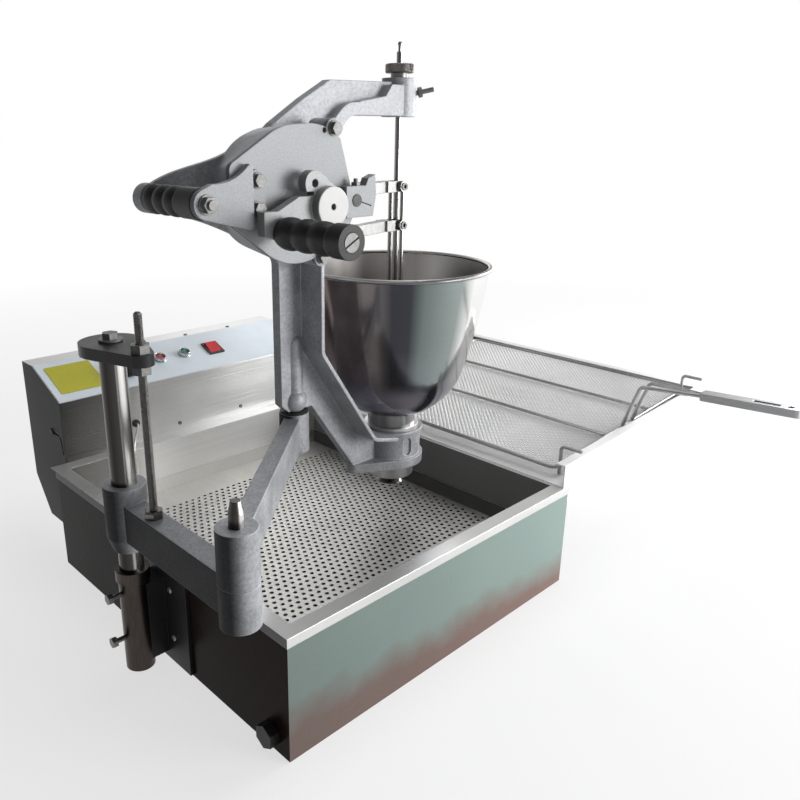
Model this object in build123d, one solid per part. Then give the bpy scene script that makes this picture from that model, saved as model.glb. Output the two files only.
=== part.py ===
from build123d import *
import os
from math import atan2, cos, degrees, hypot, radians, sin

# A donut fryer: an electric oil bath with a side drain tray and a frying net, and a hand cranked batter
# depositor that hangs over the oil on a two link arm. Millimetres, +Z up.
# X runs along the front to the right, Y from the front to the back. The pieces are drawn from the case's
# front left bottom corner, and the last lines move them so that the origin is the middle of the base.

# fits and clearances
RUN = 0.05            # radial clearance of a shaft in its bearing
FIT = 0.2             # sheet against sheet
FREE = 0.4            # pieces that pass each other
LOOSE = 0.6           # sheet pieces that drop into each other

# outer case and oil tank
TANK_W = 500.0
CASE_D = 526.0
TANK_H = 149.0
SHEET = 1.5
RIM = 19.0
BACK_GAP = 7.0        # between the tank's back wall and the case's back
RIM_OVER_BACK = 16.0  # how far the rim reaches behind the case
LIP_H = 11.0
TANK_FLOOR = 10.0
TANK_BACK = CASE_D - BACK_GAP
RIM_BACK_EDGE = CASE_D + RIM_OVER_BACK

# perforated plate, a lift-out sheet on four legs
PLATE_Z = 64.0
PLATE_FLANGE = 25.0
PLATE_LEG_W = 20.0
HOLE_PITCH = 44.0
HOLE_R = 8.0
HOLE_MARGIN = 44.0

# heating tubes under the plate
TUBE_R = 4.25
TUBE_Z = 46.0
TUBE_COUNT = 3
TUBE_GAP = 70.0
TUBE_PITCH = 125.0
TUBE_FRONT = 90.0
TUBE_TAIL = 30.0

# drain pipe and its cap
DRAIN_Y = 30.0
DRAIN_Z = 20.0
DRAIN_R = 9.0
DRAIN_WALL = 2.5
CAP_FLATS = 24.0
CAP_LEN = 10.0

# control box
BOX_INSET = 23.0
BOX_T = 1.2
BOX_LOW = 36.0
BOX_FRONT_H = 92.0
PANEL_RUN = 89.0
PANEL_RISE = 37.0
BOX_TOP_D = 35.0
CHAMFER_RUN = 42.0
CHAMFER_RISE = 56.0
FILM_T = 0.8
BACK_FRAME = 14.0     # border of the back opening behind its panel
BOX_X0 = BOX_INSET
BOX_X1 = TANK_W - BOX_INSET
BOX_BEHIND = CASE_D + FIT
BOX_FRONT = RIM_BACK_EDGE + FIT
BOX_STEP = TANK_H - SHEET - FIT
PANEL_Z0 = TANK_H + BOX_FRONT_H
PANEL_Y1 = BOX_FRONT + PANEL_RUN
PANEL_Z1 = PANEL_Z0 + PANEL_RISE
BOX_BACK = PANEL_Y1 + BOX_TOP_D
SLOT_W = 4.0
SLOT_BEND = 9.0
SLOT_FROM = (40.0, 38.0)      # back from the front face, up from the rim
SLOT_CORNER = (9.0, 38.0)
SLOT_TO = (5.0, 10.0)
SIDE_SCREW_R = 5.0
SCREW_R = 3.0
SCREW_HEAD = 1.8
FRONT_SCREWS = (0.19, 0.43, 0.67, 0.89)       # shares of the tank's width
FRONT_SCREW_UP = 14.0
BACK_SCREW_INSET = 8.0

# devices on the sloped panel: X, and S up the slope from its lower edge
LAMP_S = 50.0
RED_X = 213.5
GREEN_X = 258.5
LAMP_R = 11.0
LAMP_RIM = 2.5
LENS_R = 8.0
LENS_WALL = 0.2
LENS_DEPTH = 12.0
SWITCH_X = 314.0
SWITCH_S = 49.0
SWITCH_W = 29.0
SWITCH_L = 31.0
SWITCH_LEDGE = 2.5
SWITCH_DEPTH = 22.0
ROCKER_MARGIN = 4.0
ROCKER_DOWN = 2.2
ROCKER_UP = 5.6
ROCKER_EDGE = 1.6
ROCKER_ROOT = 4.0
PIVOT_R = 1.5
PIVOT_LEN = 1.2
KNOB_X = 147.0
KNOB_S = 40.0
KNOB_R = 18.0
KNOB_H = 18.0
KNOB_SKIRT = 4.0
KNOB_GAP = 1.0
KNOB_SHAFT_R = 3.0
KNOB_HOLE_R = 5.0
THERMOSTAT_W = 36.0
THERMOSTAT_H = 30.0

# thermostat bulb and capillary
GROMMET_X = 138.0
GROMMET_UP = 33.0
GROMMET_R = 6.0
GROMMET_NECK_R = 4.0
GROMMET_OUT = 3.0
CAPILLARY_R = 1.25
BULB_R = 4.0
BULB_SIDE = 20.0
BULB_LOW = 94.0
BULB_TOP = 140.0
CAPILLARY_BENDS = (8.0, 12.0, 9.0, 2.0, 3.0)   # out of the box, aside, over the rim, under it, radius

# contactor and cable gland
CONTACTOR_X = 330.0
CONTACTOR_Z = TANK_H + 11.0
CONTACTOR_SIZE = (46.0, 46.0, 68.0)
COIL_STEP = 14.0
GLAND_INSET = 57.0
GLAND_UP = 28.0
GLAND_R = 8.0
GLAND_BORE = 5.0
GLAND_FLATS = 22.0
GLAND_NUT = 6.0

# drain tray
TRAY_LEN = 425.0
TRAY_Y0 = 2.0
TRAY_Y1 = 504.0
TRAY_T = 1.5
TRAY_RISE = 28.5      # the floor's rise from the tank to the far end
TRAY_OVERLAP = 14.0   # the floor's lap over the tank's rim
RIM_NEAR_H = 33.0
RIM_FAR_H = 20.0
TRAY_TURN = 14.0
GUSSET_LEG = 62.0
GUSSET_DROP = 25.0
GUSSET_TIP = 4.0
GUSSET_T = 2.0
TRAY_X1 = TANK_W + TRAY_LEN
TRAY_LIP_X = TANK_W - TRAY_OVERLAP
FLOOR_Z0 = TANK_H
FLOOR_Z1 = FLOOR_Z0 + TRAY_RISE
TRAY_RIM_Z0 = FLOOR_Z0 + RIM_NEAR_H
TRAY_RIM_Z1 = FLOOR_Z1 + RIM_FAR_H

# frying net
NET_NEAR = 5.0        # from the tank's edge to the net's near wire
NET_FAR = 19.0        # from the tray's far wall to the net's far wire
NET_Y0 = 30.0
NET_Y1 = 480.0
NET_LIFT = 14.0
WIRE_R = 3.0
NET_BAR_R = 2.5
NET_MESH_T = 1.2
NET_STRAND = 5.0
NET_CELLS = 13
NET_CORNER_R = 9.0
NET_WELD = 0.5
NET_FOOT_GAP = 0.3
HOOK_INSET = 14.0
HOOK_RISE = 28.0
HOOK_REACH = 32.0
HOOK_BEND = 6.0
HANDLE_X = 707.0
HANDLE_GAP = 30.0
HANDLE_NECK = 11.0
HANDLE_R = 3.0
HANDLE_RISE = 66.0
HANDLE_OUT = 22.0
HANDLE_REACH = 106.0
HANDLE_BEND = 8.0
HANDLE_LIFT = 5.0
HANDLE_TAIL = 30.0
GRIP_LEN = 131.0
GRIP_W = 22.0
GRIP_H = 11.0
GRIP_ROUND = 5.0
GRIP_SLOT = (8.0, 34.0)
GRIP_HOLE_R = 4.0
GRIP_HOLE_IN = 14.0
GRIP_TILT = 3.4
NET_X0 = TANK_W + NET_NEAR
NET_X1 = TRAY_X1 - NET_FAR

# post, its socket and its cap
POST_OUT = 33.0       # post axis left of the case
POST_Y = 243.0
POST_R = 14.0
POST_CHAMFER = 1.5
SOCKET_R = 17.0
SOCKET_COLLAR = 2.5
SOCKET_COLLAR_H = 14.0
SOCKET_LOW = 2.0
SOCKET_FLOOR = 6.0
SOCKET_PLATE_T = 4.0
SOCKET_TOP = TANK_H - LIP_H - SOCKET_PLATE_T
SOCKET_PLATE_FRONT = 62.0
SOCKET_PLATE_BACK = 40.0
SOCKET_BLOCK_W = 30.0
SOCKET_BLOCK_LOW = 12.0
SOCKET_BLOCK_TOP = SOCKET_TOP - 20.0
SET_SCREWS = (46.0, 104.0)
SET_SCREW_R = 3.0
SET_SCREW_LEN = 14.0
SET_SCREW_FLATS = 11.0
SET_SCREW_HEAD = 6.0
CAP_Z0 = 390.0
CAP_T = 12.6
CAP_BIG_R = 33.0
CAP_SMALL_R = 13.0
SPIGOT_R = 8.0
CAP_WASHER_R = 12.5
CAP_WASHER_T = 2.0
CAP_BOLT_FLATS = 15.0
CAP_BOLT_H = 6.5
NUT_FLATS = 18.0
NUT_H = 9.0
POST_X = -POST_OUT

# height rod and lower arm
ROD_Y = 180.0
ROD_R = 4.6
ROD_TOP = 444.0
ROD_SEAT = 20.0
ARM_BOSS_R = 24.0
ARM_BOSS_Z0 = 160.0
ARM_BOSS_Z1 = 240.0
ARM_BOSS_CONE = 18.0
ARM_BOSS_WALL = 4.0
BEAM_W = 26.0
BEAM_Z0 = 178.0
BEAM_Z1 = 222.0
ELBOW_Y = 27.0
ELBOW_R = 20.5
ELBOW_LOW = 170.0
ELBOW_MID = 215.0
ELBOW_TOP = 272.0
ELBOW_FLOOR = 5.0
PIN_R = 7.5
PIN_TOP = 298.0
PIN_TAPER = 12.0
PIN_TIP = 2.5
ELBOW_X = POST_X

# upper arm and wrist
WRIST_X = 199.0
WRIST_Y = 228.5
WRIST_R = 19.0
WRIST_Z0 = 219.0
WRIST_Z1 = 271.0
ARM2_W = 20.0
ARM2_STEP = 4.0       # beam below the bosses' top
ARM2_LIFT = 2.0       # beam above the lower arm
WASHER_T = 2.5
WASHER_IN = 1.0
WRIST_PIN_R = 7.0
WRIST_PIN_SEAT = 6.0
WRIST_PIN_TOP = 358.0

# depositor frame, a T section casting in the plane Y = YC
YC = WRIST_Y
AXIS_X = 380.5        # axis of the hopper and the nozzle
WEB_T = 14.0
COL_BACK = 174.5
COL_TOP = 495.0
COL_LOW = 275.0
COL_FILLET = 15.0
COL_CORNER = 10.0     # bevel at the foot
LAP = 2.0             # how far the ribs run into each other
FLANGE_X = 210.0
FLANGE_T = 4.5
FLANGE_HALF = 45.0
FLANGE_TURN_Z = 354.0
FLANGE_BEND = 16.0
LEG_X = 302.0         # where the leg meets the ring
LEG_TOP = 218.0
LEG_LOW = 168.0
LEG_ROOT = 24.0       # from the wrist's axis to the leg's lower edge
RIB_R = 12.0
RIB_TOP = 362.0
BALL_R = 17.0
BALL_Z = 287.0
DRUM_X = 185.0
DRUM_Z = 547.0
DRUM_R = 72.0
DRUM_SHOULDER = (-18.0, -3.0, 74.0)     # the drum widens to its left: from its axis, radius
DRUM_CORNERS = ((-97.0, 25.0, 10.0), (-97.0, -24.0, 10.0))
DRUM_NARROW = ((0.0, 0.0, -4.0), (10.0, 0.0, -6.0), (35.0, -5.0, 0.0), (35.0, -2.0, 0.0))   # less at the back
DRUM_WINDOW = 2.0     # round the rocker's hub
DRUM_WALL = 6.0
DRUM_BACK_T = 8.0
DRUM_Y0 = 181.0
DRUM_Y1 = 250.0
COVER_T = 6.0
COVER_BOLTS = ((35.0, 67.0), (16.0, -73.0))      # from the drum's axis
BRACKET_BOLTS = ((-74.0, 15.0), (-75.0, -14.0))
COVER_HOLES = ((21.0, 65.0), (4.0, -65.0))
COVER_HOLE_R = 3.0
LUG_R = 11.0
LUG_DEPTH = 26.0
BRACKET_LUG_DEPTH = 34.0
BOLT_R = 4.0
BOLT_SEAT = 18.0
BOLT_FLATS = 13.0
BOLT_HEAD = 5.5
BOLT_WASHER_R = 8.5
BOLT_WASHER_T = 1.6
CUT_TOP = (37.0, 83.0)        # the drum's open side, from its axis
CUT_LOW = (77.0, -47.0)
RING_R = 42.0
RING_Z0 = 155.0
RING_Z1 = 208.0
RING_LIP = 3.0
RING_LIP_H = 5.0
RING_FLANGE_R = 46.0
RING_FLANGE_T = 13.0
RING_TAIL_X = 308.0
RING_TAIL_R = 12.0
POCKET = (26.0, 13.0)
POCKET_DEPTH = 3.0
POCKET_TURN = -12.0
HEAD_R = 22.0
HEAD_Z0 = 629.0
HEAD_Z1 = 675.0
TOP_ARM_Z1 = 670.0
TOP_ARM_Z0 = 631.0
TOP_FLANGE_T = 15.0
TOP_FLANGE_HALF = 19.0
TOP_ARM_EDGE = ((-35.0, 53.0), (-13.0, 72.0), (31.0, 99.0), (72.0, 121.0))     # from the drum's axis
TOP_ARM_UNDER = ((99.0, 84.0), (77.0, 73.0), (47.0, 49.0))
TOP_FLANGE_EDGE = ((50.0, 50.0), (90.0, 89.5))
HEAD_BLOCK = ((-87.0, 645.0), (-43.0, 652.0), (-32.0, 666.0))    # from the hopper's axis, height
LOCK_TURN = -40.0
LOCK_TILT = 12.0
LOCK_DROP = 22.0
LOCK_R = 3.0
LOCK_FROM = 5.0
LOCK_OUT = 23.0
LOCK_FLATS = 11.0
LOCK_NUT = 5.0
COVER_Y0 = DRUM_Y0 - COVER_T

# fixed grip between the front bracket and the back arm
GRIP_X = 43.0
GRIP_Z = 541.5
FIXED_GRIP_R = 16.0
FIXED_GRIP_BUMP = 20.5
GRIP_BUMPS = 3
GRIP_DIP = 3.0
GRIP_BOLT_R = 5.0
GRIP_BACK_Y = 270.0
GRIP_BOSS_T = 14.0
BRACKET_T = 7.5
BRACKET_R = 15.0
BRACKET_FOOT_T = 2.5
BRACKET_RIGHT = -85.0      # edges from the drum's axis
BRACKET_TOP = 32.0
BRACKET_LOW = -34.0
BRACKET_CORNER = 5.0
BRACKET_HOLLOW = (10.9, 76.1, 57.0)     # hollow upper edge: from the grip, radius
BRACKET_LIP = 24.0
BRACKET_LIP_T = 6.0
BACK_ARM_T = 11.0
BACK_ARM_X = 150.0
BACK_ARM_UPPER = ((0.0, 57.0), (0.16, 45.0), (0.35, 35.5), (0.7, 24.0))     # share of length, from the axis
BACK_ARM_LOWER = ((0.7, -27.0), (0.35, -41.5), (0.0, -61.0))
BRACKET_FOOT_Y = COVER_Y0 - BRACKET_FOOT_T
BRACKET_Y0 = BRACKET_FOOT_Y - BRACKET_T

# hopper and dough cylinder
CYL_R = 33.0
CYL_BORE = 24.0
CYL_Z0 = 134.0
CYL_FLANGE_R = 39.0
CYL_FLANGE_T = 5.0
BOWL_T = 1.5
BOWL_NECK_R = 34.0
BOWL_NECK_H = 22.0
BOWL_FLOOR_R = 46.0
BOWL_MID_R = 99.0
BOWL_MID_H = 84.0
BOWL_R = 127.5
BOWL_H = 225.0
BOWL_BEAD_R = 3.0
BOWL_FLARE = 0.12     # the wall's lean at the rim

# plunger, centre rod and dose nut
CENTRE_R = 4.0
CENTRE_TOP = 718.0
CENTRE_TIP_R = 2.2
CENTRE_TIP = 12.0
CENTRE_BALL_R = 3.0
DISC_R = 20.0
DISC_TOP_R = 15.0
DISC_Z = 120.0
DISC_T = 6.0
SIDE_R = 3.0
SIDE_SPREAD = 10.7
SLEEVE_Z0 = 158.0
SLEEVE_H = 30.0
SLEEVE_WALL = 5.0
SPIDER_HALF = 8.0
SPIDER_H = 20.0
KNURL_R = 18.0
KNURL_SIDES = 40
KNURL_H = 11.0
KNURL_NECK_R = 11.0
KNURL_NECK_H = 6.0
KNURL_GAP = 0.3

# crank
CRANK_X = 189.0
CRANK_Z = 532.8
CRANK_SHAFT_R = 8.0
SHAFT_OUT = 3.0
HUB_R = 21.7
HUB_Y0 = 141.0
HUB_T = 11.0
HUB_HOLE_R = 3.5
LEVER_T = 12.0
LEVER_HUB_R = 24.0
LEVER_EAR = (-17.0, 25.0)
LEVER_EAR_R = 13.5
LEVER_SLIT = (12.0, 4.5)
LEVER_END = -86.0
LEVER_BAR = 25.0
LEVER_BEND = -68.0
LEVER_SHOULDER = (-39.0, 12.0)
LEVER_EAR_HOLE = 4.5
CRANK_GRIP_AT = (-61.0, -24.0)
CRANK_GRIP_Y0 = 48.0
CRANK_GRIP_R = 17.5
CRANK_GRIP_BUMP = 26.0
GRIP_SCREW_R = 5.0
GRIP_SCREW_HEAD_R = 9.6
GRIP_SCREW_HEAD = 5.0
GRIP_SCREW_OUT = 0.5
GRIP_SCREW_SLOT = (4.0, 2.0)
GRIP_SCREW_TURN = -28.0
LEVER_Y0 = HUB_Y0 + HUB_T

# rocker shaft, forks and clamp lever
ROCK_X = 240.0
ROCK_Z = 536.0
ROCK_R = 7.0
ROCK_HUB_R = 13.0
ROCK_HUB_HALF = 12.0
FORK_DROP = 50.0
FORK_RISE = 7.0
FORK_H = 14.0
FORK_HALF = 7.2
FORK_SLOT = 4.6
FORK_YOKE = 27.0
FORK_YOKE_T = 15.0
FORK_YOKE_H = 14.0
FORK_YOKE_HALF = 10.5
PRONG_R = 7.0
PIN_SLOT = (13.0, 7.2)
FORK_PIN_R = 3.0
FORK_PIN_HEAD_R = 5.4
FORK_PIN_HEAD = 1.6
FORK_PIN_SOCKET = 5.0
FORK_PIN_SINK = 3.0
EYE_T = 6.2
EYE_R = 7.0
LOW_HUB_R = 11.0
LOW_PIN_R = 5.0
LOW_LUG_Y = 22.0
LOW_LUG_T = 8.0
LOW_PIN_OUT = 2.0
CLAMP_Y0 = 158.0
CLAMP_T = 11.0
CLAMP_SLIT = 1.2
CLAMP_BOLT_R = 2.5
CLAMP_BOLT_FLATS = 9.0
CLAMP_BOLT_NUT = 4.0
CLAMP_LEFT = 16.0
CLAMP_RIGHT = 26.0
CLAMP_LOW = 19.0
CLAMP_TOP = 16.0
CLAMP_EAR = ((31.0, 6.0), (29.0, 28.0), (18.0, 24.0), (14.0, 16.0))     # from the rocker's axis
CLAMP_SLIT_AT = (13.0, -4.0, 18.0)      # its middle, and its slope in degrees
CLAMP_BOLT_X = 3.0
LOW_PIVOT_Z = ROCK_Z - FORK_DROP
FORK_TOP_Z = ROCK_Z + FORK_RISE


def box(x0, x1, y0, y1, z0, z1):
    """A block between two corners."""
    centre = Pos((x0 + x1) / 2, (y0 + y1) / 2, (z0 + z1) / 2)
    return centre * Box(x1 - x0, y1 - y0, z1 - z0)


def upright(x, y, radius, z0, z1):
    """A vertical cylinder between two heights."""
    return Pos(x, y, (z0 + z1) / 2) * Cylinder(radius, z1 - z0)


def along_y(x, z, radius, y0, y1):
    """A cylinder whose axis runs front to back."""
    return Pos(x, (y0 + y1) / 2, z) * Rot(90, 0, 0) * Cylinder(radius, y1 - y0)


def along_x(y, z, radius, x0, x1):
    """A cylinder whose axis runs left to right."""
    return Pos((x0 + x1) / 2, y, z) * Rot(0, 90, 0) * Cylinder(radius, x1 - x0)


def side_plate(sketch, y0, y1):
    """A sketch in X and Z given thickness from y0 to y1."""
    plane = Plane(origin=(0, y1, 0), x_dir=(1, 0, 0), z_dir=(0, -1, 0))
    return extrude(plane * sketch, amount=y1 - y0)


def end_plate(sketch, x0, x1):
    """A sketch in Y and Z given thickness from x0 to x1."""
    plane = Plane(origin=(x0, 0, 0), x_dir=(0, 1, 0), z_dir=(1, 0, 0))
    return extrude(plane * sketch, amount=x1 - x0)


def outline(*points):
    """A flat face inside a closed row of corners."""
    return make_face(Polyline(*points, close=True))


def round_hull(*circles):
    """The outline stretched round circles given as (x, y, radius)."""
    edges = []
    for x, y, radius in circles:
        edges += (Pos(x, y) * Circle(radius)).edges()
    return make_hull(edges)


def wire(points, radius, bend):
    """A round wire along a row of points, bent at each inner one."""
    path = FilletPolyline(*points, radius=bend) if len(points) > 2 else Line(*points)
    start = Plane(origin=path @ 0, z_dir=path % 0)
    return sweep(start * Circle(radius), path=path)


def hexagon(flats, height):
    """A hexagon prism that stands on z = 0."""
    return extrude(RegularPolygon(flats / 3 ** 0.5, 6), amount=height)


# the fryer's case and tank


def tube_places():
    """The X of each heating tube's two legs."""
    first = TANK_W / 2 - TUBE_PITCH * (TUBE_COUNT - 1) / 2
    middles = [first + TUBE_PITCH * n for n in range(TUBE_COUNT)]
    return [(x - TUBE_GAP / 2, x + TUBE_GAP / 2) for x in middles]


def tube_holes():
    """The holes that let the heating tubes through the back walls."""
    holes = Part()
    for pair in tube_places():
        for x in pair:
            holes += along_y(x, TUBE_Z, TUBE_R, TANK_BACK - SHEET, CASE_D + TUBE_TAIL)
    return holes


def outer_case():
    body = box(SHEET, TANK_W - SHEET, SHEET, CASE_D, 0, TANK_H - SHEET)
    body -= box(2 * SHEET, TANK_W - 2 * SHEET, 2 * SHEET, CASE_D - SHEET, SHEET, TANK_H)
    body -= along_x(DRAIN_Y, DRAIN_Z, DRAIN_R, -CAP_LEN, RIM)
    return body - tube_holes()


def oil_tank():
    x0, x1, y0, y1 = RIM, TANK_W - RIM, RIM, TANK_BACK
    body = box(0, TANK_W, 0, RIM_BACK_EDGE, TANK_H - SHEET, TANK_H)
    body += box(0, TANK_W, 0, SHEET, TANK_H - LIP_H, TANK_H)
    body += box(0, SHEET, 0, CASE_D, TANK_H - LIP_H, TANK_H)
    body += box(TANK_W - SHEET, TANK_W, 0, CASE_D, TANK_H - LIP_H, TANK_H)
    body += box(x0 - SHEET, x1 + SHEET, y0 - SHEET, y1 + SHEET, TANK_FLOOR, TANK_H)
    body -= box(x0, x1, y0, y1, TANK_FLOOR + SHEET, TANK_H + SHEET)
    body += along_x(DRAIN_Y, DRAIN_Z, DRAIN_R, -CAP_LEN + DRAIN_WALL, RIM)
    body -= along_x(DRAIN_Y, DRAIN_Z, DRAIN_R - DRAIN_WALL, -CAP_LEN, RIM + DRAIN_WALL)
    return body - tube_holes()


def perforated_plate():
    x0, x1 = RIM + LOOSE, TANK_W - RIM - LOOSE
    y0, y1 = RIM + LOOSE, TANK_BACK - LOOSE
    body = box(x0, x1, y0, y1, PLATE_Z, PLATE_Z + PLATE_FLANGE)
    top = PLATE_Z + PLATE_FLANGE + SHEET
    body -= box(x0 + SHEET, x1 - SHEET, y0 + SHEET, y1 - SHEET, PLATE_Z + SHEET, top)
    for x in (x0, x1 - PLATE_LEG_W):
        for y in (y0, y1 - SHEET):
            body += box(x, x + PLATE_LEG_W, y, y + SHEET, TANK_FLOOR + SHEET, PLATE_Z + SHEET)
    holes = []
    row_step = HOLE_PITCH * 3 ** 0.5 / 2
    rows = int((y1 - y0 - 2 * HOLE_MARGIN) / row_step) + 1
    cols = int((x1 - x0 - 2 * HOLE_MARGIN) / HOLE_PITCH) + 1
    for row in range(rows):
        for col in range(cols - row % 2):
            x = x0 + HOLE_MARGIN + HOLE_PITCH * (col + 0.5 * (row % 2))
            holes.append(Pos(x, y0 + HOLE_MARGIN + row_step * row) * RegularPolygon(HOLE_R, 6))
    return body - extrude(Pos(0, 0, PLATE_Z - SHEET) * Sketch(children=holes), amount=3 * SHEET)


def heating_element():
    tubes = []
    back = CASE_D + TUBE_TAIL
    for xa, xb in tube_places():
        points = ((xa, back, TUBE_Z), (xa, TUBE_FRONT, TUBE_Z), (xb, TUBE_FRONT, TUBE_Z), (xb, back, TUBE_Z))
        tubes.append(wire(points, TUBE_R, TUBE_GAP / 2 - 1))
    return tubes


def drain_cap():
    cap = Pos(SHEET - FREE, DRAIN_Y, DRAIN_Z) * Rot(0, -90, 0) * hexagon(CAP_FLATS, CAP_LEN + SHEET)
    return cap - along_x(DRAIN_Y, DRAIN_Z, DRAIN_R + RUN, -CAP_LEN + DRAIN_WALL - FREE, RIM)


# the control box behind the tank

SLOPE = atan2(PANEL_RISE, PANEL_RUN)
SLOPE_LEN = hypot(PANEL_RISE, PANEL_RUN)
GROMMET_Z = TANK_H + GROMMET_UP


def on_panel(x, s, lift=0.0):
    """A place on the sloped panel: local Z stands off the panel, local Y runs up the slope."""
    y = BOX_FRONT + s * cos(SLOPE) - lift * sin(SLOPE)
    z = PANEL_Z0 + s * sin(SLOPE) + lift * cos(SLOPE)
    return Pos(x, y, z) * Rot(degrees(SLOPE), 0, 0)


def box_profile(inset):
    """The control box seen from its end, drawn in by a sheet's thickness where asked."""
    face = outline((BOX_BEHIND, BOX_LOW), (BOX_BEHIND, BOX_STEP), (BOX_FRONT, BOX_STEP),
                   (BOX_FRONT, PANEL_Z0), (PANEL_Y1, PANEL_Z1), (BOX_BACK, PANEL_Z1),
                   (BOX_BACK, BOX_LOW + CHAMFER_RISE), (BOX_BACK - CHAMFER_RUN, BOX_LOW))
    return offset(face, amount=-inset, kind=Kind.INTERSECTION) if inset else face


def panel_holes():
    """Cut-outs for the switch, the knob's shaft and the lamps."""
    depth = 4 * (BOX_T + FILM_T)
    ledges = 2 * SWITCH_LEDGE
    holes = on_panel(SWITCH_X, SWITCH_S) * Box(SWITCH_W - ledges, SWITCH_L - ledges, depth)
    holes += on_panel(KNOB_X, KNOB_S) * Cylinder(KNOB_HOLE_R, depth)
    holes += on_panel(RED_X, LAMP_S) * Cylinder(LENS_R + LENS_WALL, depth)
    return holes + on_panel(GREEN_X, LAMP_S) * Cylinder(LENS_R + LENS_WALL, depth)


def slot_point(place):
    """A point on the box's left side, from the front face and the rim."""
    return (BOX_FRONT + place[0], TANK_H + place[1])


def control_case():
    body = end_plate(box_profile(0), BOX_X0, BOX_X1)
    body -= end_plate(box_profile(BOX_T), BOX_X0 + BOX_T, BOX_X1 - BOX_T)
    low = BOX_LOW + CHAMFER_RISE + BACK_FRAME
    body -= box(BOX_X0 + BACK_FRAME, BOX_X1 - BACK_FRAME, BOX_BACK - 2 * BOX_T, BOX_BACK + BOX_T, low,
                PANEL_Z1 - BACK_FRAME)
    body -= along_y(GROMMET_X, GROMMET_Z, GROMMET_NECK_R, BOX_FRONT - BOX_T, BOX_FRONT + 2 * BOX_T)
    slot = [slot_point(place) for place in (SLOT_FROM, SLOT_CORNER, SLOT_TO)]
    path = FilletPolyline(*slot, radius=SLOT_BEND)
    body -= end_plate(trace(path, line_width=SLOT_W), BOX_X0 - BOX_T, BOX_X0 + 2 * BOX_T)
    return body - tube_holes() - panel_holes()


GLAND_X = BOX_X1 - GLAND_INSET
GLAND_Z = BOX_LOW + CHAMFER_RISE + GLAND_UP


def control_back():
    low = BOX_LOW + CHAMFER_RISE + BOX_T
    plate = box(BOX_X0 + BOX_T, BOX_X1 - BOX_T, BOX_BACK, BOX_BACK + BOX_T, low, PANEL_Z1 - BOX_T)
    return plate - along_y(GLAND_X, GLAND_Z, GLAND_R, BOX_BACK - BOX_T, BOX_BACK + 2 * BOX_T)


def cable_gland():
    outside = BOX_BACK + BOX_T
    body = along_y(GLAND_X, GLAND_Z, GLAND_R, BOX_BACK - GLAND_NUT, outside)
    for y in (outside, BOX_BACK - GLAND_NUT):
        body += Pos(GLAND_X, y, GLAND_Z) * Rot(-90, 0, 0) * hexagon(GLAND_FLATS, GLAND_NUT)
    dome = outside + GLAND_NUT
    body += along_y(GLAND_X, GLAND_Z, GLAND_R + 1, dome, dome + GLAND_R)
    return body - along_y(GLAND_X, GLAND_Z, GLAND_BORE, BOX_BACK - 2 * GLAND_NUT, dome + 2 * GLAND_R)


def control_panel():
    sheet = Box(BOX_X1 - BOX_X0 - 2 * BOX_T, SLOPE_LEN - BOX_T, FILM_T)
    return on_panel((BOX_X0 + BOX_X1) / 2, SLOPE_LEN / 2, FILM_T / 2) * sheet - panel_holes()


def lamp_bezels():
    rings = []
    for x in (RED_X, GREEN_X):
        ring = Pos(0, 0, LAMP_RIM / 2) * Cylinder(LAMP_R, LAMP_RIM)
        ring += Pos(0, 0, -LENS_DEPTH / 2) * Cylinder(LENS_R + LENS_WALL, LENS_DEPTH)
        rings.append(on_panel(x, LAMP_S, FILM_T) * (ring - Cylinder(LENS_R, 4 * LENS_DEPTH)))
    return rings


def lamp_lens(x):
    """A round lens in its bezel, with a domed face."""
    stem = Pos(0, 0, (LAMP_RIM - LENS_DEPTH) / 2) * Cylinder(LENS_R, LAMP_RIM + LENS_DEPTH)
    dome = Pos(0, 0, LAMP_RIM) * (Sphere(LENS_R) & Pos(0, 0, LENS_R / 2) * Cylinder(LENS_R, LENS_R))
    return on_panel(x, LAMP_S, FILM_T) * (stem + dome)


def red_lens():
    return lamp_lens(RED_X)


def green_lens():
    return lamp_lens(GREEN_X)


ROCKER_W = SWITCH_W - 2 * ROCKER_MARGIN
ROCKER_L = SWITCH_L - 2 * ROCKER_MARGIN
PIVOT_X = ROCKER_W / 2 + PIVOT_LEN


def switch_body():
    frame = Pos(0, 0, SWITCH_LEDGE / 2) * Box(SWITCH_W, SWITCH_L, SWITCH_LEDGE)
    barrel = Box(SWITCH_W - 2 * SWITCH_LEDGE, SWITCH_L - 2 * SWITCH_LEDGE, SWITCH_DEPTH)
    frame += Pos(0, 0, -SWITCH_DEPTH / 2) * barrel
    frame -= Pos(0, 0, SWITCH_LEDGE) * Box(ROCKER_W + 2 * FREE, ROCKER_L + 4 * FREE, SWITCH_DEPTH)
    return on_panel(SWITCH_X, SWITCH_S, FILM_T) * (frame - along_x(0, 0, PIVOT_R + RUN, -PIVOT_X, PIVOT_X))


def switch_rocker():
    half = ROCKER_L / 2
    low, high = ROCKER_DOWN, ROCKER_UP
    wings = outline((-half, low - ROCKER_EDGE), (-half, low), (0, (low + high) / 2), (half, high),
                    (half, high - ROCKER_EDGE), (ROCKER_ROOT, -ROCKER_ROOT), (-ROCKER_ROOT, -ROCKER_ROOT))
    rocker = extrude(Plane.YZ * wings, amount=ROCKER_W / 2, both=True)
    rocker += along_x(0, 0, PIVOT_R, RUN - PIVOT_X, PIVOT_X - RUN)
    return on_panel(SWITCH_X, SWITCH_S, FILM_T) * rocker


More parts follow.
